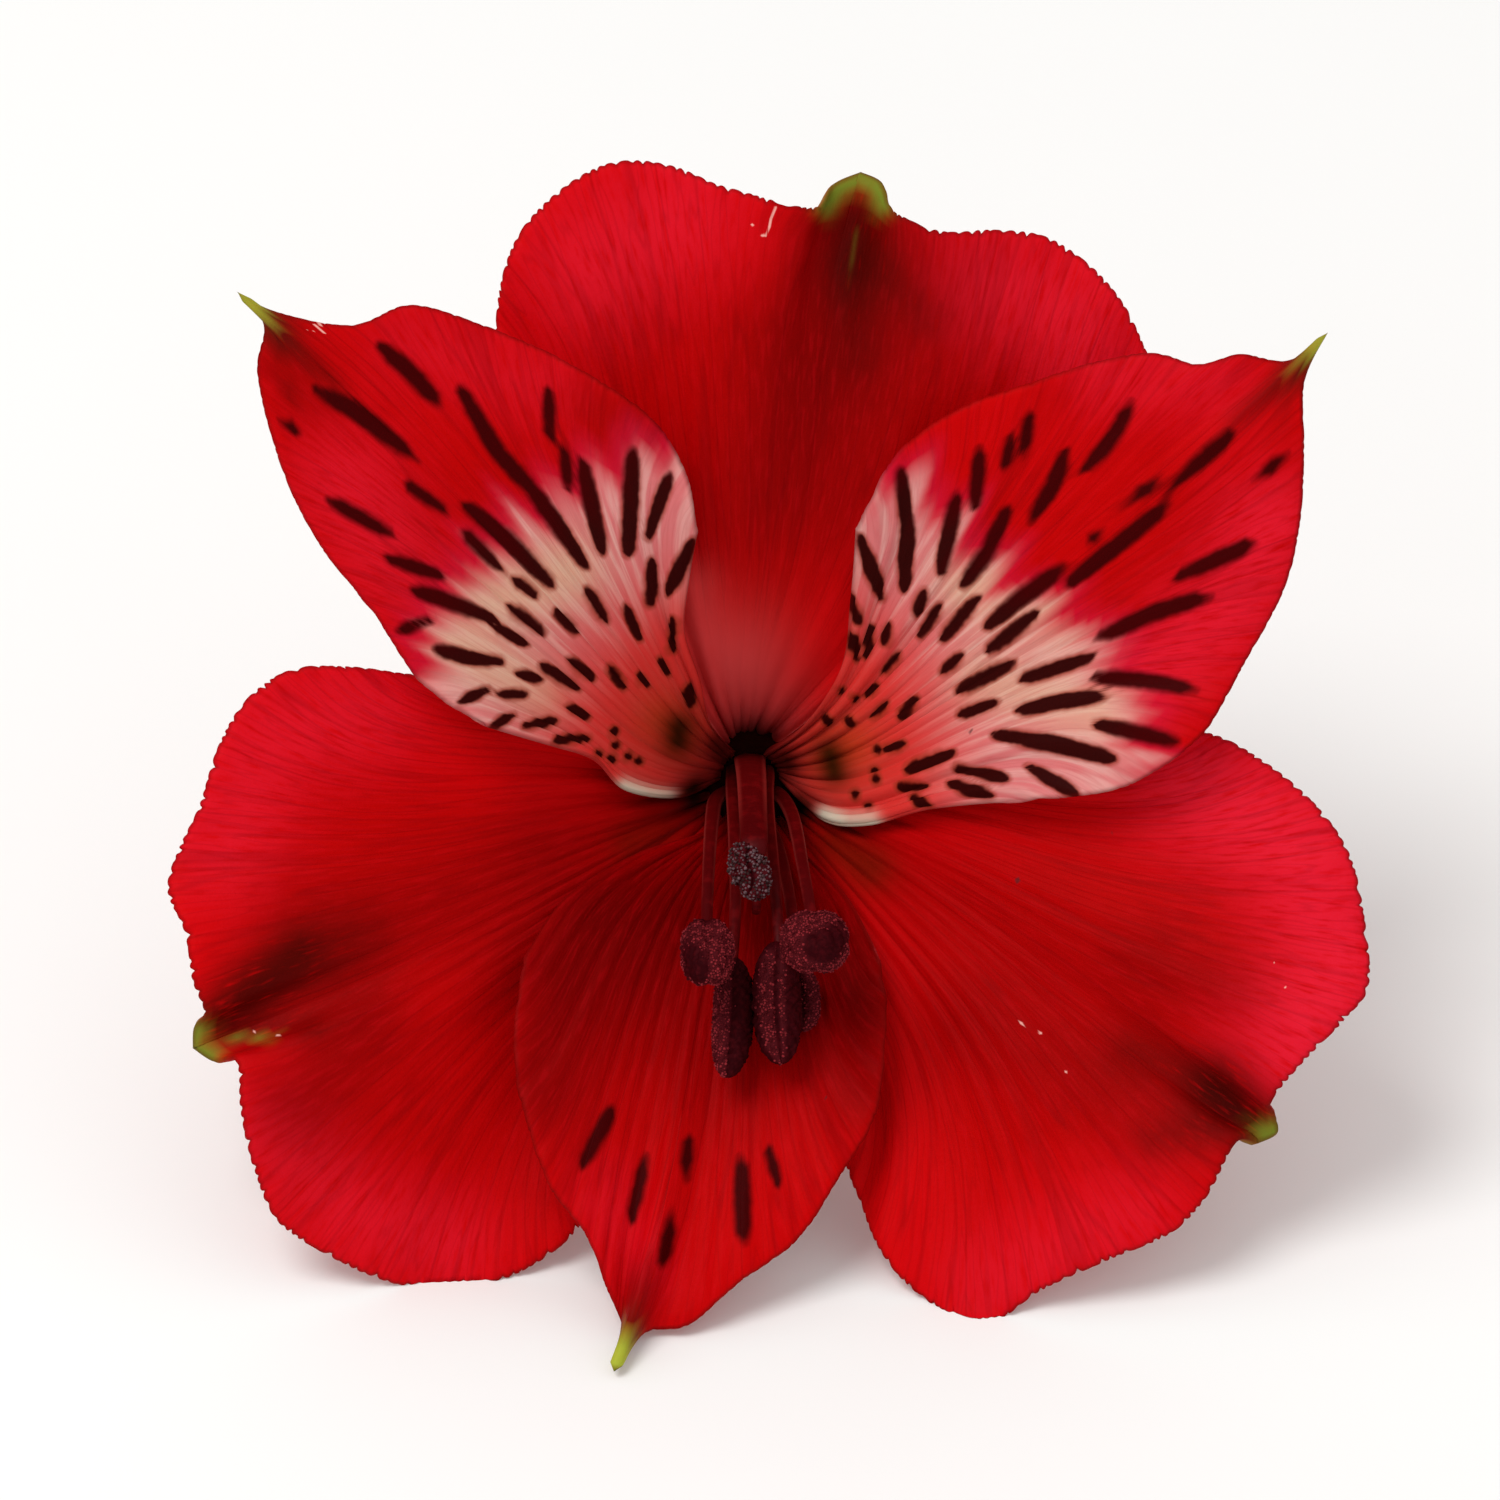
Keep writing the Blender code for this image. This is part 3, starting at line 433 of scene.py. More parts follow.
# Rows of a petal run from its claw to its margin, and columns fan out along its veins.
# The last rows have more columns, which carry the teeth.
MESH = {
    "outer": {"columns": 300, "margin_steps": 2, "rows": 74, "margin_rows": 9, "margin_from": 0.93},
    "inner": {"columns": 280, "margin_steps": 2, "rows": 104, "margin_rows": 6, "margin_from": 0.95},
}
ROW_CROWDING = 1.55
MARGIN_CROWDING = 1.5
CLAW_SUNK = 0.75
RIM_ROUNDING = 0.6
TIP_SWELL_REACH = 1.7

# Teeth: how far they stray from an even pitch, how deep they reach into the blade, and
# how far from a tip they start and are full.
TOOTH_DRIFT = 0.3
TOOTH_REACH = 0.45
TOOTHLESS_TIP = (1.6, 4.0)

# Waves, crinkles, pleats and broad swells: the length of each, how far the first two
# reach in from the margin, and how far from a tip all of them start and are full.
WAVE_LENGTH = 8.5
WAVE_REACH = 4.5
CRISP_LENGTH = 2.3
CRISP_REACH = 1.6
PLEAT_LENGTH = 3.4
SWELL_LENGTH = 17.0
SWELL_SHARE = 2.2
STILL_TIP = (3.0, 10.0)

# What a petal's material reads: the strokes above, from 0 to 1, and then the side that
# looks into the throat, the way out of the throat, and distances in mm.
CHANNELS = [
    "shade", "light", "stain_and_fold_shade", "salmon_and_painted_light", "amber", "haze",
    "cream", "white", "pocket_shade", "green", "brown", "needle",
]
PETAL_VALUES = [*CHANNELS, "front", "open", "edge_mm", "lateral_mm", "nick_mm", "speck_mm"]
MARKED_VALUES = ["pale", "blush", "coral", "fleck_mm"]

# Between these distances from the axis a petal comes out of the throat's shade.
OPEN_FROM = (5.0, 15.0)

# The edge of the pale throat runs out in fingers, long and short: their length and width.
LONG_FINGERS = (1.0, 2.8)
SHORT_FINGERS = (0.4, 1.2)

# How far inside that edge the pale colour and the pink round it start and are full, and
# between which distances from the axis the coral near the claw fades.
PALE_EDGE = (-1.0, 2.6)
BLUSH_EDGE = (-3.2, 0.2)
CORAL_FADES = (9.5, 17.0)

# Half a fleck's width is its least, and grows with the root of its length up to its most.
# A fleck of one point is a dot.
FLECK_GROWTH = 0.155
FLECK_LEAST = 0.08
FLECK_MOST = 0.46
DOT_RADIUS = 0.24

THREAD_LET_IN = 0.9
THREAD_HALF_DEPTH = 0.36
THREAD_SIDES = 26
THREAD_RINGS = 60
THREAD_CURVE_POINTS = 40

ANTHER_RINGS = 70
ANTHER_SIDES = 64

# The furrow between an anther's lobes, and the finer one on its edges, in half-widths.
FURROW_WIDTH = 0.26
EDGE_FURROW = 0.1
EDGE_FURROW_WIDTH = 0.16

# How much coarser the clumps of old pollen are than fresh grains, and the most grains to
# a square metre, which their spacing then thins out.
SPENT_CLUMPS = 1.25
GRAINS_AT_MOST = 1e8

# Each anther. "core" is the middle and the half-widths of the bare patch on an end that
# faces the viewer, and "dusty" is where across its front the pollen starts and ends, both
# in half-widths of the anther. Then come its furrow's depth, how lumpy it is, how far of
# its length it sways, and in how many half waves.
ANTHERS = {
    "left": {"core": (-0.46, 0.10, 0.50, 0.66), "furrow": 0.2, "lumps": 1.0, "sway": 0.0, "curls": 1},
    "right": {"core": (0.26, 0.28, 0.66, 0.56), "furrow": 0.15, "lumps": 1.0, "sway": 0.0, "curls": 1},
    "lower_left": {"dusty": (-1.2, 0.02), "furrow": 0.3, "lumps": 1.0, "sway": 0.03, "curls": 1},
    "lower_middle": {"dusty": (-0.7, 0.3), "furrow": 0.2, "lumps": 1.0, "sway": -0.03, "curls": 1},
    "lower_right": {"dusty": (-0.2, 1.2), "furrow": 0.3, "lumps": 1.2, "sway": 0.03, "curls": 1},
    "shed": {"dusty": (-1.2, 1.2), "furrow": 0.5, "lumps": 2.6, "sway": -0.09, "curls": 2},
}

OVARY_SIDES = 144
STALK_RINGS = 90
LYING_RINGS = 40
OUTLINE_STEPS = 400
# The ovary's top, down to this depth, lies deep in the throat and is painted near-black as painted shade.
CROWN_DEPTH = 0.3
EDGES_SHARP_FROM_DEG = 50.0

# The depths below the ovary's top between which the stalk takes on its brown flush.
FLUSH_FROM = (4.0, 14.0)

# The point that the camera looks at, in the bloom's frame.
VIEW_TARGET = (0.0, 1.87, 22.0)

# Each light: its place in metres in the bloom's frame, its width and its share of the power.
LIGHTS = {"soft_key": ((-0.35, 0.55, 0.75), 0.5, 1.0)}

# What the inner petals have otherwise than the outer ones.
INNER_VALUES = {"tooth_depth": 0.07, "wave": 0.22, "painted_lobe_light": 0.25}


def linear(colour):
    """An sRGB hex colour as the linear numbers that Blender works in."""
    parts = [int(colour[i : i + 2], 16) / 255 for i in (1, 3, 5)]
    return tuple(p / 12.92 if p <= 0.04045 else ((p + 0.055) / 1.055) ** 2.4 for p in parts)


def opaque(colour):
    return (*linear(colour), 1.0)


def unit(vectors):
    return vectors / np.maximum(np.linalg.norm(vectors, axis=-1, keepdims=True), 1e-9)


def bloom_axes():
    """The bloom's x, y and z in the world, one a row."""
    tilt = math.radians(FACE_TILT_DEG)
    return np.array(
        [
            [1.0, 0.0, 0.0],
            [0.0, math.sin(tilt), math.cos(tilt)],
            [0.0, -math.cos(tilt), math.sin(tilt)],
        ]
    )


def ovary_top():
    """The middle of the ovary's flat top in the CAD model, which is the bloom's origin."""
    points = np.array([v.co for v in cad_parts["ovary_and_stalk"].data.vertices])
    height = points @ bloom_axes()[2]
    top = points[height > height.max() - 0.02 * MM]
    return (top.min(axis=0) + top.max(axis=0)) / 2


AXES = bloom_axes()
ORIGIN = ovary_top()


def in_world(points):
    return ORIGIN + np.asarray(points) * MM @ AXES


def above_table(points):
    """The points, with those below the table raised onto it."""
    height = (ORIGIN[2] + points * MM @ AXES[:, 2]) / MM
    return points + np.outer(np.maximum(-height, 0), AXES[:, 2])


def smooth_line(points, places):
    """A smooth line through the points, read at places from 0 to their count less one."""
    last = len(points) - 1
    index = np.clip(np.floor(places).astype(int), 0, last - 1)
    part = (places - index)[:, None]
    start, end = points[index], points[index + 1]
    leave = (end - points[np.maximum(index - 1, 0)]) / 2
    arrive = (points[np.minimum(index + 2, last)] - start) / 2
    square, cube = part**2, part**3
    return (
        (2 * cube - 3 * square + 1) * start
        + (cube - 2 * square + part) * leave
        + (3 * square - 2 * cube) * end
        + (cube - square) * arrive
    )


def run_of(line):
    """How far along the line each of its points is."""
    return np.concatenate([[0], np.cumsum(np.linalg.norm(np.diff(line, axis=0), axis=1))])


def along(points, shares):
    """The smooth line through the points, read at shares of its length."""
    points = np.array(points, float)
    places = np.linspace(0, len(points) - 1, 30 * len(points))
    run = run_of(smooth_line(points, places))
    return smooth_line(points, np.interp(np.asarray(shares) * run[-1], run, places))


def step_up(values, low, high):
    """0 below low, 1 above high, and a smooth rise between them."""
    part = np.clip((values - low) / (high - low), 0, 1)
    return part * part * (3 - 2 * part)


def wander(values, wavelength, seed, octaves=5):
    """A smooth irregular wave between about -1 and 1, of about this wavelength."""
    random = np.random.default_rng(seed)
    total = np.zeros_like(values, dtype=float)
    for _ in range(octaves):
        stretch = random.uniform(0.7, 1.6)
        total += np.sin(2 * np.pi * values / (wavelength * stretch) + random.uniform(0, 2 * np.pi))
    return total / math.sqrt(octaves * 1.2)


def funnel(across, claw):
    """The funnel's depth at these places across the face, for a petal with this claw."""
    out = np.maximum(np.linalg.norm(across, axis=-1) - claw["radius"], 0)
    return SEAT_GAP + FUNNEL_DEPTH * (1 - np.exp(-((out / FUNNEL_OPENING) ** FUNNEL_START)))


def margin_of(petal, columns):
    """The margin's points, with as many steps before the tip as past it."""
    shares = np.linspace(0, 1, columns // 2 + 1)
    outline, point = petal["margin"], petal["point"]
    return np.concatenate([along(outline[: point + 1], shares), along(outline[point:], shares)[1:]])


def eased(values, reach):
    """Values along the margin without what changes faster than this share of it."""
    count = len(values)
    before = 2 * values[0] - values[:0:-1]
    after = 2 * values[-1] - values[-2::-1]
    padded = np.concatenate([before, values, after])
    place = (np.arange(len(padded)) - (count - 1)) / (count - 1)
    near = np.exp(-(((np.linspace(0, 1, count)[:, None] - place) / reach) ** 2))
    return (near @ padded) / near.sum(axis=1).reshape(-1, *[1] * (values.ndim - 1))


def claw_foot(petal, count):
    angle = np.radians(petal["azimuth"] + petal["claw"]["half_angle"] * np.linspace(-1, 1, count))
    return petal["claw"]["radius"] * np.stack([np.cos(angle), np.sin(angle)], axis=1)


def clear_plan(petal, edge):
    """The blade seen from the front as a coarse grid whose lines don't cross."""
    shares = np.linspace(0, 1, PLAN_ROWS + 1)
    place = np.linspace(0, 1, PLAN_COLUMNS + 1)[:, None]
    foot = claw_foot(petal, PLAN_COLUMNS + 1)
    edge = smooth_line(edge, place[:, 0] * (len(edge) - 1))
    grid = (1 - shares)[:, None, None] * foot + shares[:, None, None] * edge
    first = along([foot[0], *petal["first_side"], edge[0]], shares) - grid[:, 0]
    second = along([foot[-1], *petal["second_side"], edge[-1]], shares) - grid[:, -1]
    grid = grid + (1 - place) * first[:, None] + place * second[:, None]
    for _ in range(PLAN_ROUNDS):
        around = PLAN_EVENING * (grid[1:-1, :-2] + grid[1:-1, 2:]) + grid[:-2, 1:-1] + grid[2:, 1:-1]
        grid[1:-1, 1:-1] = around / (2 * PLAN_EVENING + 2)
    return grid


def read_plan(grid, shares, places):
    """The grid's smooth surface at shares of the way out and places along the margin."""
    rows, columns = grid.shape[:2]
    lines = smooth_line(grid.reshape(rows, -1), shares * (rows - 1))
    lines = lines.reshape(-1, columns, 2).transpose(1, 0, 2).reshape(columns, -1)
    lines = smooth_line(lines, places * (columns - 1))
    return lines.reshape(len(places), -1, 2).transpose(1, 0, 2)


def from_middle(plan):
    """How far each point is from the middle column, along its row."""
    steps = np.linalg.norm(np.diff(plan, axis=1), axis=2)
    way = np.concatenate([np.zeros((len(plan), 1)), np.cumsum(steps, axis=1)], axis=1)
    return way - way[:, [way.shape[1] // 2]]


def middle_surface(petal, rows, columns):
    """The blade's middle surface, as in the part's source, with finer rows and columns."""
    margin = margin_of(petal, columns)
    edge, rise = margin[:, :2], margin[:, 2]
    plan = read_plan(clear_plan(petal, eased(edge, TURN_EASE)), rows, np.linspace(0, 1, len(edge)))
    share = rows[:, None]
    keel = petal["keel"] * share**2 * np.exp(-((from_middle(plan) / KEEL_HALF_WIDTH) ** 2))
    keen = np.clip((share - SHARP_FROM) / (1 - SHARP_FROM), 0, 1) ** 2
    plan += keen[:, :, None] * (edge - plan[-1])
    broad = eased(rise, RISE_EASE)
    height = funnel(plan, petal["claw"]) + share**2 * broad + keen * (rise - broad) - keel
    return np.dstack([plan, height])


def facing(surface):
    """Unit normals of a grid of points, on the side that looks into the throat."""
    return unit(np.cross(np.gradient(surface, axis=0), np.gradient(surface, axis=1)))


def away_from(border, points):
    """How far each point is from the nearest point of the border."""
    tree = KDTree(len(border))
    for number, point in enumerate(border):
        tree.insert(point, number)
    tree.balance()
    return np.array([tree.find(point)[2] for point in points])


def blade_rows(mesh):
    """Shares of the way from the claw to the margin, crowded towards both."""
    inner = mesh["margin_from"] * np.linspace(0, 1, mesh["rows"]) ** ROW_CROWDING
    toward = np.linspace(0, 1, mesh["margin_rows"] + 1)[1:]
    outer = 1 - (1 - mesh["margin_from"]) * (1 - toward) ** MARGIN_CROWDING
    return np.concatenate([inner, outer])


def stitched(low, high, steps):
    """Triangles between a row of point numbers and the row after it, which is finer by steps."""
    first, after = low[:-1], low[1:]
    if steps == 1:
        faces = [np.stack([first, high[:-1], high[1:]], 1), np.stack([first, high[1:], after], 1)]
        return np.concatenate(faces)
    faces = [
        np.stack([first, high[0:-1:steps], high[1::steps]], 1),
        np.stack([first, high[1::steps], after], 1),
    ]
    for step in range(1, steps):
        faces.append(np.stack([after, high[step::steps], high[step + 1 :: steps]], 1))
    return np.concatenate(faces)


def skin_triangles(numbers, coarse_rows, steps):
    """The triangles of one side of a blade, from its grid of point numbers."""
    faces = []
    for row in range(len(numbers) - 1):
        low, high = numbers[row], numbers[row + 1]
        if row + 1 < coarse_rows:
            faces.append(stitched(low[::steps], high[::steps], 1))
        elif row < coarse_rows:
            faces.append(stitched(low[::steps], high, steps))
        else:
            faces.append(stitched(low, high, 1))
    return np.concatenate(faces)


def from_line(across, points):
    """Each place's distance from a line of points, and how far along the line it is, from 0 to 1."""
    points = np.array(points, float)
    if len(points) == 1:
        return np.linalg.norm(across - points[0], axis=1), np.full(len(across), 0.5)
    best = np.full(len(across), 1e9)
    share = np.zeros(len(across))
    run = run_of(points)
    for number, (start, end) in enumerate(zip(points, points[1:])):
        way = end - start
        part = np.clip((across - start) @ way / (way @ way), 0, 1)
        distance = np.linalg.norm(across - start - part[:, None] * way, axis=1)
        nearer = distance < best
        best[nearer] = distance[nearer]
        share[nearer] = ((run[number] + part * (run[number + 1] - run[number])) / run[-1])[nearer]
    return best, share


def strokes_on(across, strokes):
    """How strongly soft strokes colour each place, from 0 to 1."""
    bare = np.ones(len(across))
    for points, radius, strength in strokes:
        distance, _ = from_line(across, points)
        bare *= 1 - strength * np.exp(-((distance / radius) ** 2))
    return 1 - bare


def from_flecks(across, flecks, seed):
    """Each place's distance in mm outside the nearest fleck, which is below 0 within it."""
    random = np.random.default_rng(seed)
    nearest = np.full(len(across), 9.0)
    for points in flecks:
        distance, share = from_line(across, points)
        length = run_of(np.array(points, float))[-1]
        widest = min(FLECK_GROWTH * math.sqrt(length) + FLECK_LEAST, FLECK_MOST) if length else DOT_RADIUS
        lean = random.uniform(-0.3, 0.3)
        spindle = np.sqrt(np.clip(1 - np.abs(2 * share - 1) ** 2.4, 0, 1)) * (1 + lean * (2 * share - 1))
        half = widest * (0.45 + 0.55 * spindle) if length else widest
        nearest = np.minimum(nearest, distance - half)
    return nearest


def from_marks(across, marks):
    """Each place's distance in mm from the nearest of these small marks."""
    nearest = np.full(len(across), 9.0)
    for points in marks:
        nearest = np.minimum(nearest, from_line(across, points)[0])
    return nearest


def pale_throat(across, reach, seed):
    """How pale a petal is towards its throat, how pink round that, and how coral near its claw."""
    angles, distances = np.transpose(reach)
    angle = np.arctan2(across[:, 1], across[:, 0])
    out = np.linalg.norm(across, axis=1)
    inside = np.interp(np.degrees(angle), angles, distances) - out
    round_way = angle * distances.mean()
    fingers = LONG_FINGERS[0] * wander(round_way, LONG_FINGERS[1], seed)
    fingers += SHORT_FINGERS[0] * wander(round_way, SHORT_FINGERS[1], seed + 1)
    body = step_up(inside + fingers, *PALE_EDGE)
    blush = step_up(inside + 0.7 * fingers, *BLUSH_EDGE)
    coral = (1 - step_up(out, *CORAL_FADES)) * body
    return body, blush, coral


def new_mesh(name, points, faces, materials):
    mesh = bpy.data.meshes.new(name)
    mesh.from_pydata(in_world(points).tolist(), [], faces.tolist())
    mesh.update()
    mesh.shade_smooth()
    for material in materials:
        mesh.materials.append(material)
    return mesh


def write_attribute(mesh, name, values):
    layer = mesh.attributes.new(name, "FLOAT", "POINT")
    layer.data.foreach_set("value", np.asarray(values, np.float32))


def write_uv(mesh, name, uv):
    layer = mesh.uv_layers.new(name=name)
    corners = np.empty(len(mesh.loops), np.int32)
    mesh.loops.foreach_get("vertex_index", corners)
    layer.uv.foreach_set("vector", uv[corners].astype(np.float32).ravel())


def place_piece(name, mesh, node):
    """Puts a finished mesh in the scene in place of a CAD node."""
    piece = bpy.data.objects.new(name, mesh)
    bpy.context.scene.collection.objects.link(piece)
    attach(piece, "root")
    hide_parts(node)


def toothed(surface, margin_run, tip_run, settings, seed):
    """The blade with its margin drawn in between small rounded teeth, away from its tip."""
    warp = margin_run + TOOTH_DRIFT * wander(margin_run, 3.4, seed)
    notch = 1 - np.abs(np.sin(np.pi * warp / settings.tooth_pitch))
    size = 0.7 + 0.5 * wander(margin_run, 1.9, seed + 1)
    size *= step_up(np.abs(margin_run - tip_run), *TOOTHLESS_TIP)
    cut = settings.tooth_depth * np.clip(size, 0, 2) * notch**1.3
    inward = unit(surface[-8] - surface[-1])
    distance = np.linalg.norm(surface - surface[-1], axis=2)
    return surface + inward * (cut * np.exp(-distance / TOOTH_REACH))[:, :, None]


def waved(surface, edge, margin_run, settings, seed):
    """The blade with soft waves that grow towards its margin, and shallow folds along its veins."""
    columns = np.broadcast_to(margin_run, edge.shape)
    sway = settings.wave * wander(columns, WAVE_LENGTH, seed) * np.exp(-((edge / WAVE_REACH) ** 2))
    crisp = settings.crisp * wander(columns, CRISP_LENGTH, seed + 1) * np.exp(-((edge / CRISP_REACH) ** 2))
    rows = np.linspace(0, 1, len(surface))[:, None]
    pleat = settings.pleat * wander(columns + 3 * rows, PLEAT_LENGTH, seed + 2) * step_up(rows, 0.25, 0.7)
    swell = SWELL_SHARE * settings.pleat * wander(columns + 9 * rows, SWELL_LENGTH, seed + 3)
    to_tip = np.linalg.norm(surface - surface[-1, edge.shape[1] // 2], axis=2)
    moved = (sway + crisp + pleat + swell * step_up(rows, 0.3, 0.8)) * step_up(to_tip, *STILL_TIP)
    return surface + facing(surface) * moved[:, :, None]


def two_skins(surface, shift, coarse_rows, steps):
    """A closed blade from its middle surface and half its thickness: the points and faces.

    Then which points of the grid its front uses, and which of them its back has as well.
    The two share their margins.
    """
    shown = np.ones(surface.shape[:2], bool)
    shown[:coarse_rows] = np.arange(surface.shape[1]) % steps == 0
    front = np.full(surface.shape[:2], -1)
    front[shown] = np.arange(shown.sum())
    inside = shown.copy()
    inside[:, [0, -1]] = False
    inside[-1] = False
    back = front.copy()
    back[inside] = np.arange(inside.sum()) + shown.sum()
    points = np.concatenate([(surface + shift)[shown], (surface - shift)[inside]])
    foot, behind = front[0, ::steps], back[0, ::steps]
    closing = np.concatenate(
        [
            np.stack([foot[:-1], foot[1:], behind[1:]], 1),
            np.stack([foot[:-1], behind[1:], behind[:-1]], 1),
        ]
    )
    closing = closing[(closing[:, 0] != closing[:, 1]) & (closing[:, 1] != closing[:, 2])]
    closing = closing[closing[:, 0] != closing[:, 2]]
    sides = [skin_triangles(front, coarse_rows, steps), skin_triangles(back, coarse_rows, steps)[:, ::-1]]
    return points, np.concatenate([*sides, closing]), shown, inside


def petal_channels(name, across, seed):
    """What colours a petal at each place, by the names that its material reads."""
    channels = {channel: strokes_on(across, STROKES[name].get(channel, [])) for channel in CHANNELS}
    channels["open"] = step_up(np.linalg.norm(across, axis=1), *OPEN_FROM)
    channels["nick_mm"] = from_marks(across, NICKS.get(name, []))
    channels["speck_mm"] = from_marks(across, [[point] for point in SPECKS.get(name, [])])
    if name in FLECKS:
        channels["fleck_mm"] = from_flecks(across, FLECKS[name], seed)
        pale = name in PALE_REACH
        masks = pale_throat(across, PALE_REACH[name], seed) if pale else np.zeros((3, len(across)))
        channels.update(zip(("pale", "blush", "coral"), masks))
    return channels


def petal_piece(name, settings, material, mesh_size, seed):
    """One petal: toothed, waved, given its thickness and its colours, in place of its tepal."""
    columns = mesh_size["columns"] * mesh_size["margin_steps"]
    surface = middle_surface(TEPALS[name], blade_rows(mesh_size), columns)
    margin_run = run_of(surface[-1])
    if settings.tooth_depth > 0:
        surface = toothed(surface, margin_run, margin_run[columns // 2], settings, seed)
    surface = np.concatenate([surface[:1] - (0, 0, CLAW_SUNK), surface])
    sides = [along(surface[:, column], np.linspace(0, 1, 4 * len(surface))) for column in (0, -1)]
    border = np.concatenate([surface[-1], *sides])
    edge = away_from(border, surface.reshape(-1, 3)).reshape(surface.shape[:2])
    edge[-1] = edge[:, 0] = edge[:, -1] = 0
    surface = waved(surface, edge, margin_run, settings, seed)
    rounding = np.sqrt(1 - (1 - np.clip(edge / RIM_ROUNDING, 0, 1)) ** 2)
    to_tip = np.linalg.norm(surface - surface[-1, columns // 2], axis=2)
    thick = settings.thickness + settings.tip_swell * np.exp(-((to_tip / TIP_SWELL_REACH) ** 2))
    shift = facing(surface) * (thick * rounding / 2)[:, :, None]
    coarse_rows = mesh_size["rows"] + 1
    points, faces, shown, inside = two_skins(surface, shift, coarse_rows, mesh_size["margin_steps"])

    def both(grid):
        """The values at the front's points, and then at the back's own."""
        return np.concatenate([grid[shown], grid[inside]])

    piece_name = name.replace("tepal", "petal")
    mesh = new_mesh(piece_name, above_table(points), faces, [material])
    channels = petal_channels(name, both(surface)[:, :2], seed)
    channels["front"] = np.repeat([1.0, 0.0], [shown.sum(), inside.sum()])
    channels["edge_mm"] = both(edge)
    channels["lateral_mm"] = both(from_middle(surface))
    for channel, values in channels.items():
        write_attribute(mesh, channel, values)
    fan = np.broadcast_to((np.arange(columns + 1) / columns - 0.5) * margin_run[-1], edge.shape)
    climb = np.linalg.norm(np.diff(surface, axis=0, prepend=surface[:1]), axis=2).cumsum(axis=0)
    write_uv(mesh, "veins_mm", np.stack([both(fan), both(climb)], axis=1))
    place_piece(piece_name, mesh, name)


def add(tree, kind, inputs=None, output=0, **settings):
    """Adds a node with its settings, sets or links its inputs, and returns one of its outputs."""
    node = tree.nodes.new(kind)
    for name, value in settings.items():
        setattr(node, name, value)
    for name, value in (inputs or {}).items():
        socket = node.inputs[name]
        if isinstance(value, bpy.types.NodeSocket):
            tree.links.new(value, socket)
        else:
            socket.default_value = value
    return node.outputs[output] if node.outputs else None


def new_material(name, roughness, specular, labels=()):
    """A Principled material to build on: it, its tree, its shader and the attributes it reads."""
    material = bpy.data.materials.new(name)
    material.use_nodes = True
    tree = material.node_tree
    shader = tree.nodes["Principled BSDF"]
    shader.inputs["Roughness"].default_value = roughness
    shader.inputs["Specular IOR Level"].default_value = specular
    told = {label: add(tree, "ShaderNodeAttribute", output="Fac", attribute_name=label) for label in labels}
    return material, tree, shader, told


def coats(tree, colour, layers):
    """The colour with each layer laid over it in turn: its masks, which multiply, and its colour.

    A mask runs from 0 to 1. It may also be a tuple: a value, where it starts to show and
    where it shows most, and how much that is.
    """
    for masks, over in layers:
        amount = 1.0
        for mask in masks:
            if isinstance(mask, tuple):
                value, start, end, most = mask
                span = {"Value": value, "From Min": start, "From Max": end, "To Max": most}
                mask = add(tree, "ShaderNodeMapRange", span, interpolation_type="SMOOTHSTEP")
            amount = add(tree, "ShaderNodeMath", {0: amount, 1: mask}, operation="MULTIPLY")
        over = opaque(over) if isinstance(over, str) else over
        colour = add(tree, "ShaderNodeMix", {0: amount, 6: colour, 7: over}, 2, data_type="RGBA")
    return colour


def dress(tree, shader, colour, height, strength, depth):
    """Gives the shader its colour, and fine relief of this depth in mm."""
    tree.links.new(colour, shader.inputs["Base Color"])
    bump = add(tree, "ShaderNodeBump", {"Height": height, "Strength": strength, "Distance": depth * MM})
    tree.links.new(bump, shader.inputs["Normal"])


def streaks(tree, spacing, stretch, detail, uv_map="veins_mm"):
    """Noise drawn out along the veins or fibres, about this many mm apart."""
    place = add(tree, "ShaderNodeUVMap", uv_map=uv_map)
    drawn = {0: place, 1: (1 / spacing, 1 / (spacing * stretch), 1.0)}
    place = add(tree, "ShaderNodeVectorMath", drawn, operation="MULTIPLY")
    noise = {"Vector": place, "Scale": 1.0, "Detail": detail}
    return add(tree, "ShaderNodeTexNoise", noise, noise_dimensions="2D")


def vein_lines(tree, spacing, stretch, width):
    """Fine lines that run, part and meet along the petal: 1 on a line, 0 between."""
    noise = streaks(tree, spacing, stretch, 1.0)
    off = add(tree, "ShaderNodeMath", {0: noise, 1: 0.5}, operation="SUBTRACT")
    off = add(tree, "ShaderNodeMath", {0: off}, operation="ABSOLUTE")
    span = {"Value": off, "From Min": 0.0, "From Max": width, "To Min": 1.0, "To Max": 0.0}
    return add(tree, "ShaderNodeMapRange", span, interpolation_type="SMOOTHSTEP")


def grain(tree, size, detail=2.0):
    """Even noise of about this size in mm."""
    place = add(tree, "ShaderNodeTexCoord", output="Object")
    return add(tree, "ShaderNodeTexNoise", {"Vector": place, "Scale": 1000 / size, "Detail": detail})


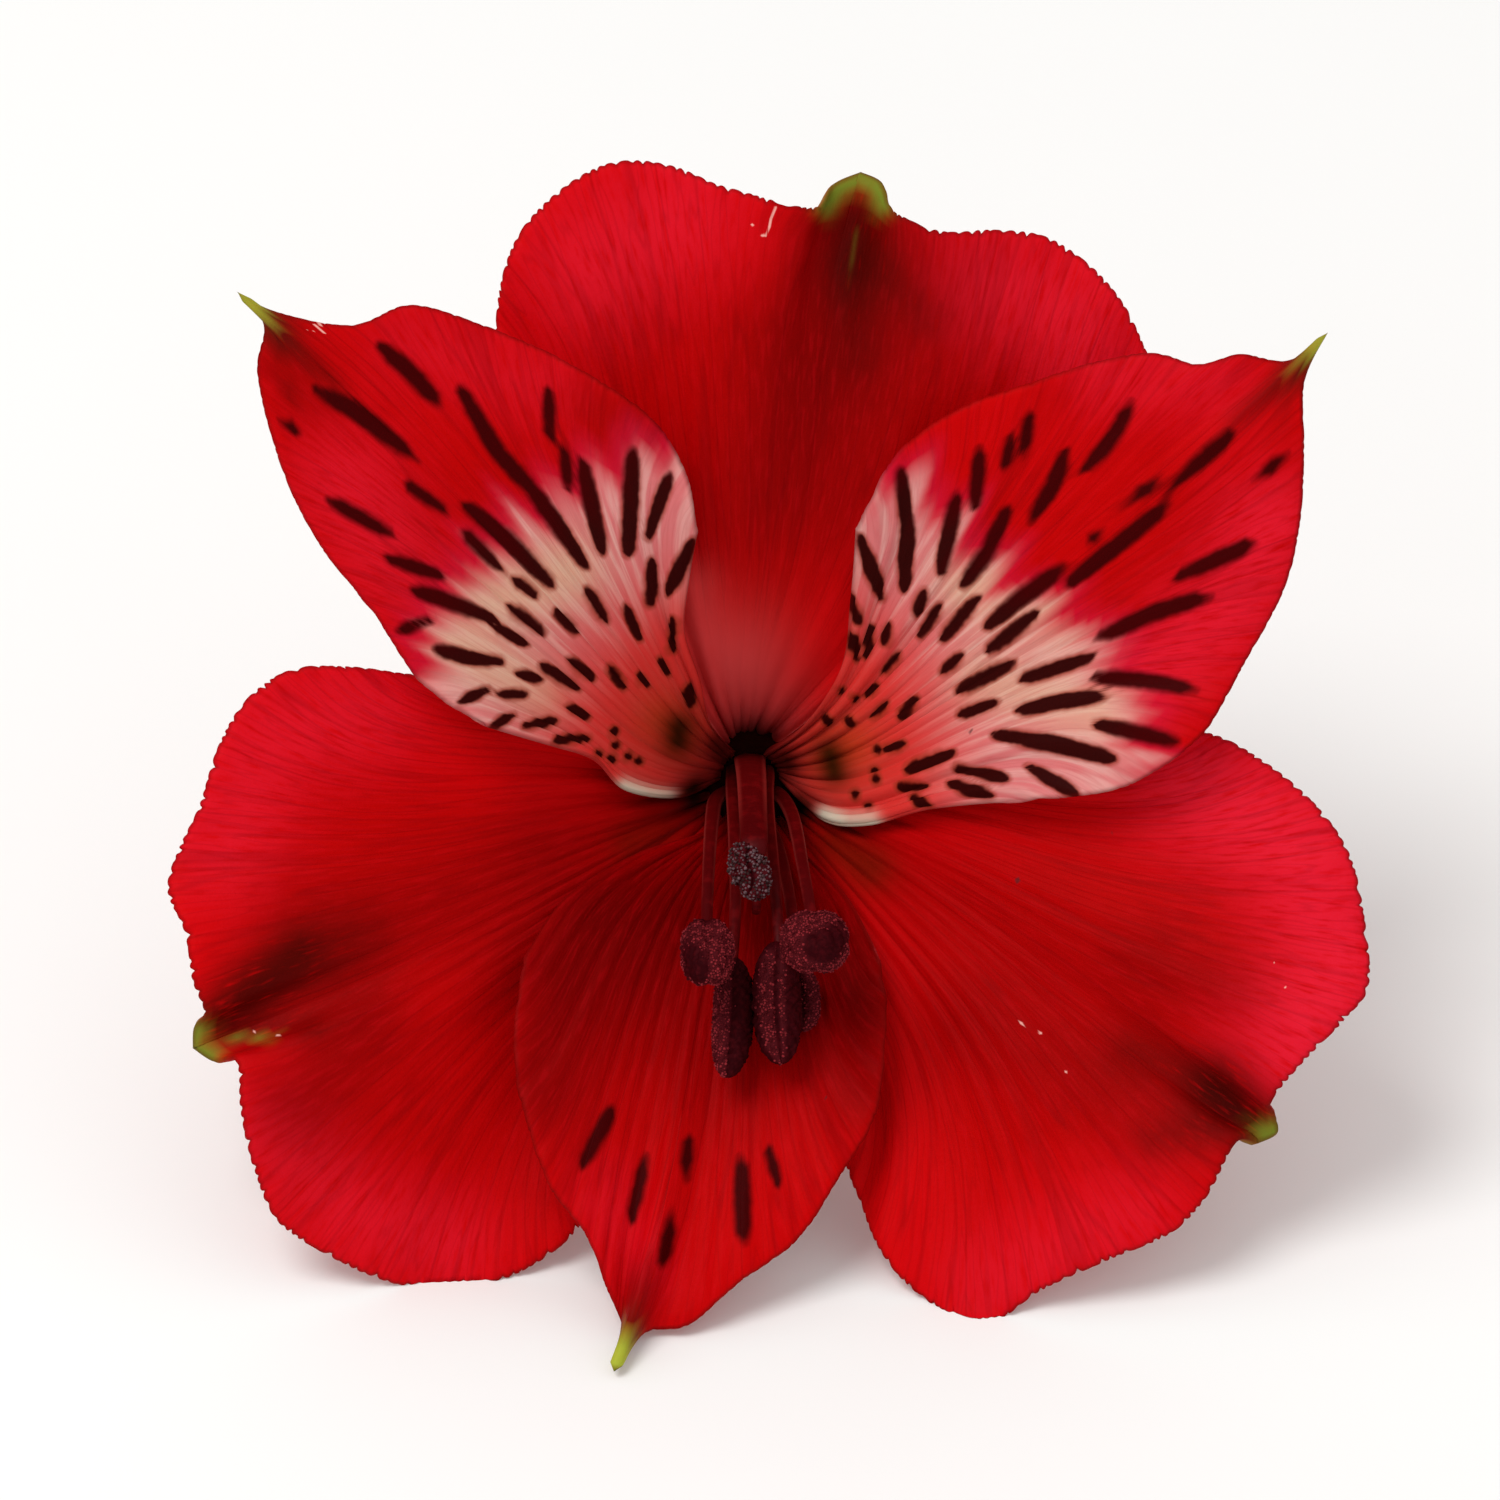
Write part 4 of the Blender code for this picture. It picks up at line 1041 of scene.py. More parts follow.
def fleck_coats(tree, told):
    """The dark flecks: crisp with a rusty rim on the pale throat, soft and broader on the red."""
    ragged = add(tree, "ShaderNodeMath", {0: grain(tree, 0.7, 1.0), 1: 0.5}, operation="SUBTRACT")
    uneven = {0: ragged, 1: 0.16, 2: told["fleck_mm"]}
    fleck = add(tree, "ShaderNodeMath", uneven, operation="MULTIPLY_ADD")
    softness = add(tree, "ShaderNodeMapRange", {"Value": told["pale"], "To Min": 0.26, "To Max": 0.1})
    wider = add(tree, "ShaderNodeMapRange", {"Value": told["pale"], "To Min": 0.13, "To Max": 0.0})
    spread = add(tree, "ShaderNodeMath", {0: fleck, 1: wider}, operation="SUBTRACT")
    spread = add(tree, "ShaderNodeMath", {0: spread, 1: softness}, operation="DIVIDE")
    seen = add(tree, "ShaderNodeMapRange", {"Value": told["front"], "To Min": 0.4, "To Max": 1.0})
    return [
        ([(fleck, 0.34, 0.02, 0.75), told["pale"], seen], "#93301c"),
        ([(spread, 1.0, -1.1, 1.0), seen], "#3c0001"),
        ([(spread, 1.0, -1.1, 1.0), told["pale"], seen], "#300504"),
    ]


def petal_skin(name, settings, marked):
    """Living petal: a thin satin skin over watery cells, deep red through and through.

    It gives the eye fine darker veins that fan to the margin, a faint painted pink highlight on
    the lobes that face the light, painted shade in the funnel, its folds and its throat, and
    saturated red where one petal lights another.
    """
    labels = PETAL_VALUES + (MARKED_VALUES if marked else [])
    material, tree, shader, told = new_material(name, settings.roughness, settings.gloss, labels)
    shader.inputs["Subsurface Weight"].default_value = settings.translucence
    shader.inputs["Subsurface Radius"].default_value = (1.0, 0.25, 0.2)
    shader.inputs["Subsurface Scale"].default_value = 0.6 * MM
    broad = vein_lines(tree, 2.3, 12.0, 0.05)
    fine = vein_lines(tree, 0.8, 9.0, 0.07)
    silk = streaks(tree, 0.4, 5.0, 3.0)
    behind = add(tree, "ShaderNodeMath", {0: 1.0, 1: told["front"]}, operation="SUBTRACT")
    side = add(tree, "ShaderNodeMath", {0: told["lateral_mm"]}, operation="ABSOLUTE")
    layers = [
        ([(grain(tree, 9.0), 0.35, 0.65, 0.3)], "#c20305"),
        # Painted highlight: the lobes grow brighter red towards the margin, where they face the light.
        ([(told["edge_mm"], 9.0, 2.5, settings.painted_lobe_light)], "#cb0409"),
        # Painted pink highlight along the strokes for light, broken up by the silk streaks.
        ([told["light"], (silk, 0.1, 0.6, 1.0)], "#da1a30"),
        # Painted shade along the strokes for shade: in the funnel, on the keel and where one petal shades
        # the next.
        ([told["shade"]], "#640000"),
        ([(silk, 0.45, 0.75, 0.16)], "#d00c18"),
        ([broad, told["open"], 0.22], "#6c0003"),
        ([fine, told["open"], 0.16], "#780004"),
    ]
    if marked:
        layers += [
            ([told["blush"], 0.6], "#c8183a"),
            ([told["pale"]], "#cf7070"),
            ([told["pale"], (streaks(tree, 1.8, 5.0, 2.0), 0.42, 0.64, 1.0), 0.5], "#dfb2a8"),
            ([told["pale"], told["cream"], 0.9], "#d2ac8c"),
            ([told["pale"], fine, 0.2], "#b44a4c"),
            ([told["coral"], 0.92], "#d62a24"),
            ([told["amber"], 0.85], "#bd3c14"),
        ]
    layers += [
        # Salmon pink on the claws: its own colour, painted brighter than it is as painted light deep in the
        # throat.
        ([told["salmon_and_painted_light"]], "#dc4a4a"),
        ([told["haze"], 0.95], "#2a1602"),
        ([told["white"]], "#ded5bd"),
        # Painted shade, near-black, in the pockets by the claws and deep in the throat.
        ([told["pocket_shade"]], "#0e0802"),
        # Near the tips: a dark stain, together with the painted shade of the folded tip.
        ([told["stain_and_fold_shade"], (silk, 0.0, 0.5, 1.0)], "#3c0401"),
        ([told["green"]], "#6f7a24"),
        ([told["brown"]], "#4c0f08"),
        ([told["needle"]], "#aab43a"),
    ]
    if marked:
        layers += fleck_coats(tree, told)
    layers += [
        # A thin dark line painted along the very margin: painted shade at the rim.
        ([(told["edge_mm"], 0.3, 0.0, 0.5)], "#5c0806"),
        ([(told["speck_mm"], 0.26, 0.1, 0.7)], "#3e2022"),
        ([(told["nick_mm"], 0.11, 0.03, 0.85)], "#f0b0a4"),
        ([behind, 0.3], "#c4343a"),
        ([behind, (side, 2.6, 0.5, 0.75)], "#7d6a2c"),
    ]
    relief = {0: broad, 1: -0.4, 2: grain(tree, 0.28, 3.0)}
    relief = {0: silk, 1: 0.5, 2: add(tree, "ShaderNodeMath", relief, operation="MULTIPLY_ADD")}
    relief = add(tree, "ShaderNodeMath", relief, operation="MULTIPLY_ADD")
    strength = add(tree, "ShaderNodeMath", {0: told["open"], 1: 0.35}, operation="MULTIPLY")
    dress(tree, shader, coats(tree, (*settings.red, 1.0), layers), relief, strength, 0.08)
    return material


def thread_skin():
    """Filament: a wet, smooth stalk of a stamen, dark red, with a highlight painted along its two edges."""
    material, tree, shader, told = new_material("filament_skin", 0.45, 0.05, ["reach", "side"])
    layers = [
        ([(told["reach"], 0.5, 1.0, 0.7)], "#400205"),
        ([(grain(tree, 0.9), 0.45, 0.7, 0.4)], "#7c0d10"),
        # Painted highlight along both edges, fading out towards the anther.
        ([(told["side"], 0.62, 0.97, 0.6), (told["reach"], 1.0, 0.55, 1.0)], "#98302c"),
        ([(told["reach"], 0.16, 0.0, 0.8)], "#7e3a30"),
    ]
    dress(tree, shader, coats(tree, opaque("#540305"), layers), grain(tree, 0.25), 0.3, 0.05)
    return material


def anther_skin():
    """Anther wall: dull maroon skin, papery and slightly wrinkled."""
    material, tree, shader, told = new_material("anther_skin", 0.6, 0.02, ["pollen"])
    wrinkle = grain(tree, 0.35, 3.0)
    layers = [([(wrinkle, 0.4, 0.7, 0.5)], "#48090f"), ([told["pollen"], 0.85], "#4c1016")]
    dress(tree, shader, coats(tree, opaque("#2c0307"), layers), wrinkle, 0.6, 0.08)
    return material


def pollen_dust(name, light, dark):
    """Pollen: dry grains, each matt and a little different from the next."""
    material, tree, shader, _ = new_material(name, 0.85, 0.05)
    colour = coats(tree, dark, [([(grain(tree, 0.4, 1.0), 0.4, 0.62, 1.0)], light)])
    dress(tree, shader, colour, grain(tree, 0.08), 0.5, 0.02)
    return material


def stalk_skin():
    """Living stalk and ovary: waxy green skin with a red flush on its ribs, a pale cut end, and painted
    shade on the crown, which lies deep in the throat.
    """
    labels = ["rib", "bend", "cut", "crown_shade"]
    material, tree, shader, told = new_material("stalk_skin", 0.5, 0.35, labels)
    shader.inputs["Subsurface Weight"].default_value = 0.1
    shader.inputs["Subsurface Scale"].default_value = 0.5 * MM
    fibres = streaks(tree, 1 / 2.2, 2.2 / 0.12, 3.0, "stalk_mm")
    layers = [
        ([(fibres, 0.4, 0.65, 0.5)], "#7d9a45"),
        ([told["rib"], (grain(tree, 2.5), 0.2, 0.65, 0.6)], "#7c3a24"),
        ([told["bend"], 0.35], "#8a5a34"),
        ([told["cut"]], "#b9c489"),
        # Painted shade, dark maroon, on the crown deep in the throat.
        ([told["crown_shade"]], "#35100a"),
    ]
    gloss = add(tree, "ShaderNodeMapRange", {"Value": told["crown_shade"], "To Min": 0.35, "To Max": 0.0})
    tree.links.new(gloss, shader.inputs["Specular IOR Level"])
    dress(tree, shader, coats(tree, opaque("#5f7f2e"), layers), fibres, 0.4, 0.12)
    return material


def stage_card():
    """Matt white card: an even pale ground that throws soft light back up."""
    material, tree, shader, _ = new_material("stage_card", 0.9, 0.1)
    colour = coats(tree, opaque("#f4f3f1"), [([(grain(tree, 60.0), 0.3, 0.7, 0.3)], "#f1f0ee")])
    tree.links.new(colour, shader.inputs["Base Color"])
    return material


def set_input(modifier, name, value):
    """Sets a Geometry Nodes modifier's input by the identifier of the socket with this name."""
    for item in modifier.node_group.interface.items_tree:
        if item.item_type == "SOCKET" and item.in_out == "INPUT" and item.name == name:
            modifier[item.identifier] = value
            return
    raise ValueError(f"the tree {modifier.node_group.name} has no input named {name}")


def new_tree(name, sockets):
    """A Geometry Nodes tree with these inputs, by name and kind: it, and what its input gives."""
    tree = bpy.data.node_groups.new(name, "GeometryNodeTree")
    for label, kind in {"Geometry": "Geometry", **sockets}.items():
        tree.interface.new_socket(label, in_out="INPUT", socket_type=f"NodeSocket{kind}")
    tree.interface.new_socket("Geometry", in_out="OUTPUT", socket_type="NodeSocketGeometry")
    given = tree.nodes.new("NodeGroupInput")
    return tree, given.outputs


def thread_tree():
    """A tapering round thread along a curve, with how far along it each point is."""
    kinds = {"Radius": "Float", "Tip Radius": "Float", "Flatness": "Float"}
    kinds.update({"Sides": "Int", "Rings": "Int", "Material": "Material"})
    tree, given = new_tree("thread", kinds)
    curve = add(tree, "GeometryNodeResampleCurve", {"Curve": given["Geometry"], "Count": given["Rings"]})
    share = add(tree, "GeometryNodeSplineParameter")
    taper = {"Value": share, "To Min": given["Radius"], "To Max": given["Tip Radius"]}
    radius = add(tree, "ShaderNodeMapRange", taper)
    stored = {"Geometry": curve, "Name": "reach", "Value": share}
    curve = add(tree, "GeometryNodeStoreNamedAttribute", stored, data_type="FLOAT", domain="POINT")
    outline = add(tree, "GeometryNodeCurvePrimitiveCircle", {"Resolution": given["Sides"], "Radius": 1.0})
    # How far to the side of the thread each point is, which places the filament's painted highlight.
    place = add(tree, "ShaderNodeSeparateXYZ", {0: add(tree, "GeometryNodeInputPosition")})
    side = add(tree, "ShaderNodeMath", {0: place}, operation="ABSOLUTE")
    stored = {"Geometry": outline, "Name": "side", "Value": side}
    outline = add(tree, "GeometryNodeStoreNamedAttribute", stored, data_type="FLOAT", domain="POINT")
    scale = add(tree, "ShaderNodeCombineXYZ", {"X": 1.0, "Y": given["Flatness"], "Z": 1.0})
    outline = add(tree, "GeometryNodeTransform", {"Geometry": outline, "Scale": scale})
    sweep = {"Curve": curve, "Profile Curve": outline, "Scale": radius, "Fill Caps": True}
    mesh = add(tree, "GeometryNodeCurveToMesh", sweep)
    mesh = add(tree, "GeometryNodeSetShadeSmooth", {"Geometry": mesh})
    mesh = add(tree, "GeometryNodeRealizeInstances", {"Geometry": mesh})
    mesh = add(tree, "GeometryNodeSetMaterial", {"Geometry": mesh, "Material": given["Material"]})
    add(tree, "NodeGroupOutput", {0: mesh})
    return tree


def pollen_tree():
    """Grains scattered over a surface where its pollen attribute allows, and joined to it."""
    kinds = {"Grain Radius": "Float", "Spacing": "Float", "Density": "Float"}
    kinds.update({"Seed": "Int", "Pollen": "Material"})
    tree, given = new_tree("pollen", kinds)
    where = add(tree, "GeometryNodeInputNamedAttribute", {"Name": "pollen"}, data_type="FLOAT")
    strewn = {
        "Mesh": given["Geometry"],
        "Distance Min": given["Spacing"],
        "Density Max": given["Density"],
        "Density Factor": where,
        "Seed": given["Seed"],
    }
    points = add(tree, "GeometryNodeDistributePointsOnFaces", strewn, distribute_method="POISSON")
    grains = add(tree, "GeometryNodeMeshIcoSphere", {"Radius": given["Grain Radius"], "Subdivisions": 1})
    sizes = {2: 0.65, 3: 1.35, "Seed": given["Seed"]}
    size = add(tree, "FunctionNodeRandomValue", sizes, output=1, data_type="FLOAT")
    turns = {0: (0.0, 0.0, 0.0), 1: (6.28, 6.28, 6.28), "Seed": given["Seed"]}
    turn = add(tree, "FunctionNodeRandomValue", turns, data_type="FLOAT_VECTOR")
    placed = {"Points": points, "Instance": grains, "Rotation": turn, "Scale": size}
    heap = add(tree, "GeometryNodeInstanceOnPoints", placed)
    heap = add(tree, "GeometryNodeRealizeInstances", {"Geometry": heap})
    heap = add(tree, "GeometryNodeSetShadeSmooth", {"Geometry": heap})
    heap = add(tree, "GeometryNodeSetMaterial", {"Geometry": heap, "Material": given["Pollen"]})
    join = tree.nodes.new("GeometryNodeJoinGeometry")
    tree.links.new(heap, join.inputs[0])
    tree.links.new(given["Geometry"], join.inputs[0])
    add(tree, "NodeGroupOutput", {0: join.outputs[0]})
    return tree


def grown(name, data, tree, values):
    """The plain mesh that a Geometry Nodes tree makes from this mesh or curve."""
    source = bpy.data.objects.new(name + "_source", data)
    bpy.context.scene.collection.objects.link(source)
    modifier = source.modifiers.new("grown", "NODES")
    modifier.node_group = tree
    for label, value in values.items():
        set_input(modifier, label, value)
    bpy.context.view_layer.update()
    evaluated = source.evaluated_get(bpy.context.evaluated_depsgraph_get())
    mesh = bpy.data.meshes.new_from_object(evaluated)
    mesh.name = name
    source.modifiers.remove(modifier)
    bpy.data.objects.remove(source)
    return mesh


def thread_curve(name, route):
    points = in_world(along(route, np.linspace(0, 1, THREAD_CURVE_POINTS)))
    curve = bpy.data.curves.new(name, "CURVE")
    curve.dimensions = "3D"
    curve.twist_mode = "Z_UP"
    spline = curve.splines.new("POLY")
    spline.points.add(len(points) - 1)
    spline.points.foreach_set("co", np.column_stack([points, np.ones(len(points))]).ravel())
    return curve


def thread_piece(name, node, route, half_widths, lead, tree, material):
    """A filament or the style, let into the ovary and the anther so that no gap shows."""
    route = np.array(route, float)
    start = route[0] - (0, 0, CLAW_SUNK)
    end = route[-1] + unit(np.array(lead, float)) * THREAD_LET_IN
    values = {
        "Radius": half_widths[0] * MM,
        "Tip Radius": half_widths[1] * MM,
        "Flatness": min(1.0, THREAD_HALF_DEPTH / half_widths[0]),
        "Sides": THREAD_SIDES,
        "Rings": THREAD_RINGS,
        "Material": material,
    }
    mesh = grown(name, thread_curve(name, [start, *route, end]), tree, values)
    place_piece(name, mesh, node)


def circle(sides):
    angle = np.linspace(0, 2 * np.pi, sides, endpoint=False)
    return np.stack([np.cos(angle), np.sin(angle)], axis=1)


def swept(path, outlines):
    """A closed skin through one outline for each point of the path, with flat ends."""
    lead = unit(np.gradient(path, axis=0))
    side = unit(np.array([1.0, 0.0, 0.0]) - lead[:, :1] * lead)
    rise = np.cross(lead, side)
    rings = path[:, None] + outlines[:, :, :1] * side[:, None] + outlines[:, :, 1:] * rise[:, None]
    count, sides = rings.shape[:2]
    points = np.concatenate([rings.reshape(-1, 3), rings[:1].mean(axis=1), rings[-1:].mean(axis=1)])
    number = np.arange(count * sides).reshape(count, sides)
    after = np.roll(number, -1, axis=1)
    low, high = (number[:-1], after[:-1]), (number[1:], after[1:])
    faces = [
        np.stack([low[0], low[1], high[1]], -1).reshape(-1, 3),
        np.stack([low[0], high[1], high[0]], -1).reshape(-1, 3),
        np.stack([after[0], number[0], np.full(sides, count * sides)], -1),
        np.stack([number[-1], after[-1], np.full(sides, count * sides + 1)], -1),
    ]
    return points, np.concatenate(faces)


def anther_body(stamen, look, seed):
    """Two long lobes with a furrow between them, and where pollen clings to them."""
    length, width, depth = stamen["size"]
    lead = unit(np.array(stamen["anther"]))
    place = (1 - np.cos(np.linspace(0.02, 0.98, ANTHER_RINGS) * np.pi)) / 2
    swell = (1 - np.abs(2 * place - 1) ** 2.6) ** 0.5
    ring = circle(ANTHER_SIDES)
    furrow = 1 - look["furrow"] * np.exp(-((ring[:, 0] / FURROW_WIDTH) ** 2))
    furrow -= EDGE_FURROW * np.exp(-((ring[:, 1] / EDGE_FURROW_WIDTH) ** 2))
    outline = ring * furrow[:, None] * (width / 2, depth / 2)
    start = np.array(stamen["path"][-1]) + lead * SEAT_GAP
    path = start + lead * ((place - place[0]) * length)[:, None]
    path[:, 0] += look["sway"] * length * np.sin(place * np.pi * look["curls"])
    points, faces = swept(path, outline * swell[:, None, None])
    turn = np.tile(np.linspace(0, 2 * np.pi, ANTHER_SIDES, endpoint=False), ANTHER_RINGS)
    way = np.repeat(place, ANTHER_SIDES)
    lumps = 0.05 * wander(turn * 3 + way * 20, 2.1, seed) + 0.04 * wander(way * 30 - turn * 5, 1.7, seed + 1)
    out = points[: len(turn)] - np.repeat(path, ANTHER_SIDES, axis=0)
    points[: len(turn)] += out * (lumps * look["lumps"])[:, None]
    across = np.tile(ring[:, 0], ANTHER_RINGS)
    if "core" in look:
        x, y, half_x, half_y = look["core"]
        flat = (ring[None] * swell[:, None, None]).reshape(-1, 2)
        from_core = np.hypot((flat[:, 0] - x) / half_x, (flat[:, 1] - y) / half_y)
        pollen = np.where(way > 0.5, step_up(from_core, 0.85, 1.2), 1.0) * step_up(way, 0.2, 0.4)
    else:
        low, high = look["dusty"]
        pollen = step_up(across, low - 0.15, low + 0.1) * (1 - step_up(across, high - 0.1, high + 0.15))
        pollen *= step_up(np.abs(across + 0.02), 0.06, 0.2) * step_up(way, 0.04, 0.16)
    return points, faces, np.append(pollen, [0.0, pollen[-1]])


def stalk_shape():
    """The ribbed ovary and the stalk that bends from it onto the table, with its colour channels."""
    tilt = math.radians(FACE_TILT_DEG)
    height = ORIGIN[2] / MM
    drop = height - OVARY_LENGTH * math.sin(tilt) - STALK_RADIUS
    bend = drop / (1 - math.cos(tilt))
    turn = np.linspace(0, tilt, STALK_RINGS + 1)[1:]
    depths = np.linspace(0, OVARY_LENGTH, STALK_RINGS, endpoint=False)
    straight = np.column_stack([0 * depths, 0 * depths, -depths])
    curved = np.column_stack([0 * turn, bend * (1 - np.cos(turn)), -OVARY_LENGTH - bend * np.sin(turn)])
    along_table = np.array([0.0, math.sin(tilt), -math.cos(tilt)])
    lying = curved[-1] + np.outer(np.linspace(0, STALK_ON_TABLE, LYING_RINGS + 1)[1:], along_table)
    path = np.concatenate([straight, curved, lying])
    below = run_of(path)
    path[:, 0] = STALK_DRIFT * (below / below[-1]) ** 2
    depth, radius = zip(*OVARY_OUTLINE)
    places = np.linspace(0, len(depth) - 1, OUTLINE_STEPS)
    eased_outline = smooth_line(np.column_stack([depth, radius]), places)
    radii = np.interp(below, eased_outline[:, 0], eased_outline[:, 1])
    ribs = RIB_DEPTH * np.clip((radii - STALK_RADIUS) / 2, 0.12, 1)
    angle = np.linspace(0, 2 * np.pi, OVARY_SIDES, endpoint=False)
    rib = np.cos(RIBS * angle)
    swell = radii[:, None] * (1 + ribs[:, None] * (np.abs((1 + rib) / 2) ** 1.5 * 2 - 1))
    swell += 0.02 * wander(below, 4.0, 11)[:, None]
    points, faces = swept(path, circle(OVARY_SIDES) * swell[:, :, None])
    count = len(path)
    channels = {
        "rib": np.tile(np.clip(rib, 0, 1), count),
        "bend": np.repeat(step_up(below, *FLUSH_FROM), OVARY_SIDES),
        "cut": np.zeros(count * OVARY_SIDES),
        # The crown is painted shade, as it lies deep in the throat.
        "crown_shade": np.repeat(below < CROWN_DEPTH, OVARY_SIDES).astype(float),
    }
    channels = {name: np.append(values, [0.0, 0.0]) for name, values in channels.items()}
    channels["cut"][-1] = 1.0
    channels["crown_shade"][-2] = 1.0
    uv = np.column_stack([np.tile(angle * 2, count), np.repeat(below, OVARY_SIDES)])
    return above_table(points), faces, channels, np.concatenate([uv, uv[:1], uv[-1:]])


class PetalSettings(bpy.types.PropertyGroup):
    """Sizes in mm, and the finish, that a maker would change on the petals."""

    thickness: bpy.props.FloatProperty(
        name="Thickness", description="Blade thickness in mm", default=0.42, min=0.1, max=1.0
    )
    tip_swell: bpy.props.FloatProperty(
        name="Tip swell", description="Extra thickness at a tip in mm", default=0.6, min=0.0, max=2.0
    )
    tooth_pitch: bpy.props.FloatProperty(
        name="Tooth pitch", description="Distance between teeth in mm", default=0.72, min=0.3, max=3.0
    )
    tooth_depth: bpy.props.FloatProperty(
        name="Tooth depth", description="Depth of the notches in mm", default=0.26, min=0.0, max=1.0
    )
    wave: bpy.props.FloatProperty(
        name="Wave", description="Height of the margin's waves in mm", default=0.32, min=0.0, max=1.0
    )
    crisp: bpy.props.FloatProperty(
        name="Crisp", description="Height of the margin's crinkles in mm", default=0.07, min=0.0, max=0.5
    )
    pleat: bpy.props.FloatProperty(
        name="Pleat", description="Height of the folds along the veins in mm",
        default=0.05, min=0.0, max=0.5,
    )
    roughness: bpy.props.FloatProperty(
        name="Roughness", description="Skin roughness", default=0.5, min=0.0, max=1.0, subtype="FACTOR"
    )
    gloss: bpy.props.FloatProperty(
        name="Gloss", description="Specular level of the skin",
        default=0.02, min=0.0, max=1.0, subtype="FACTOR",
    )
    translucence: bpy.props.FloatProperty(
        name="Translucence", description="Light let through",
        default=0.1, min=0.0, max=1.0, subtype="FACTOR",
    )
    # Painted highlight: how much brighter the red grows towards the margin, where the lobes face the light.
    painted_lobe_light: bpy.props.FloatProperty(
        name="Lobe light", description="Brighter red to the margin",
        default=0.8, min=0.0, max=1.0, subtype="FACTOR",
    )
    red: bpy.props.FloatVectorProperty(
        name="Red", description="Main colour", default=linear("#b20102"), min=0.0, max=1.0, subtype="COLOR"
    )


class StamenSettings(bpy.types.PropertyGroup):
    """Sizes in mm, and colours, that a maker would change on the stamens."""

    grain_radius: bpy.props.FloatProperty(
        name="Grain radius", description="Radius of a pollen grain in mm", default=0.085, min=0.03, max=0.3
    )
    grain_spacing: bpy.props.FloatProperty(
        name="Grain spacing", description="Least distance between grains in mm",
        default=0.15, min=0.08, max=1.0,
    )
    pollen: bpy.props.FloatVectorProperty(
        name="Pollen", description="Fresh pollen",
        default=linear("#85262c"), min=0.0, max=1.0, subtype="COLOR",
    )
    seed: bpy.props.IntProperty(name="Seed", description="Seed of the scattered pollen", default=7, min=0)


class StageSettings(bpy.types.PropertyGroup):
    """The floor, the camera and the light."""

    distance: bpy.props.FloatProperty(
        name="Distance", description="From the camera to the bloom",
        default=0.65, min=0.3, max=3.0, unit="LENGTH",
    )
    lens: bpy.props.FloatProperty(
        name="Lens", description="Focal length in mm", default=250.8, min=50.0, max=600.0, unit="CAMERA"
    )
    sky: bpy.props.FloatProperty(
        name="Sky", description="Strength of the even light", default=0.74, min=0.0, max=3.0
    )
    key: bpy.props.FloatProperty(
        name="Key", description="Power of the soft light", default=4.8, min=0.0, max=50.0, unit="POWER"
    )
    floor: bpy.props.FloatProperty(
        name="Floor", description="Width of the floor", default=3.0, min=0.5, max=10.0, unit="LENGTH"
    )


class BLOOM_OT_outer_petals(bpy.types.Operator):
    """Makes the three broad outer petals with toothed margins and green tips"""

    bl_idname = "bloom.outer_petals"
    bl_label = "Outer petals"

    def execute(self, context):
        settings = context.scene.bloom_outer
        material = petal_skin("outer_petal_skin", settings, False)
        for seed, name in enumerate(["tepal_outer_top", "tepal_outer_left", "tepal_outer_right"]):
            petal_piece(name, settings, material, MESH["outer"], 30 + 10 * seed)
        return {"FINISHED"}


class BLOOM_OT_inner_petals(bpy.types.Operator):
    """Makes the three narrower inner petals with their flecks and needle tips"""

    bl_idname = "bloom.inner_petals"
    bl_label = "Inner petals"

    def execute(self, context):
        settings = context.scene.bloom_inner
        material = petal_skin("inner_petal_skin", settings, True)
        for seed, name in enumerate(["tepal_inner_left", "tepal_inner_right", "tepal_inner_lower"]):
            petal_piece(name, settings, material, MESH["inner"], 70 + 10 * seed)
        return {"FINISHED"}


class BLOOM_OT_filaments(bpy.types.Operator):
    """Makes the six filaments and the style"""

    bl_idname = "bloom.filaments"
    bl_label = "Filaments and style"

    def execute(self, context):
        tree = thread_tree()
        material = thread_skin()
        for name, stamen in STAMENS.items():
            node, route, widths = f"filament_{name}", stamen["path"], stamen["thread"]
            thread_piece(f"thread_{name}", node, route, widths, stamen["anther"], tree, material)
        thread_piece("thread_style", "style", STYLE_PATH, STYLE_HALF_WIDTHS, STYLE_LEAD, tree, material)
        return {"FINISHED"}


class BLOOM_OT_anthers(bpy.types.Operator):
    """Makes the six anthers and their pollen"""

    bl_idname = "bloom.anthers"
    bl_label = "Anthers"

    def execute(self, context):
        settings = context.scene.bloom_stamens
        tree = pollen_tree()
        skin = anther_skin()
        fresh = pollen_dust("pollen_fresh", (*settings.pollen, 1.0), opaque("#45090f"))
        old = pollen_dust("pollen_old", opaque("#6a5054"), opaque("#33201f"))
        for number, (name, look) in enumerate(ANTHERS.items()):
            points, faces, pollen = anther_body(STAMENS[name], look, 3 + number)
            body = new_mesh(f"lobes_{name}", points, faces, [skin])
            write_attribute(body, "pollen", pollen)
            spent = name == "shed"
            values = {
                "Grain Radius": settings.grain_radius * (SPENT_CLUMPS if spent else 1) * MM,
                "Spacing": settings.grain_spacing * (SPENT_CLUMPS if spent else 1) * MM,
                "Density": GRAINS_AT_MOST,
                "Seed": settings.seed + number,
                "Pollen": old if spent else fresh,
            }
            mesh = grown(f"pollen_{name}", body, tree, values)
            place_piece(f"stamen_head_{name}", mesh, f"anther_{name}")
        return {"FINISHED"}


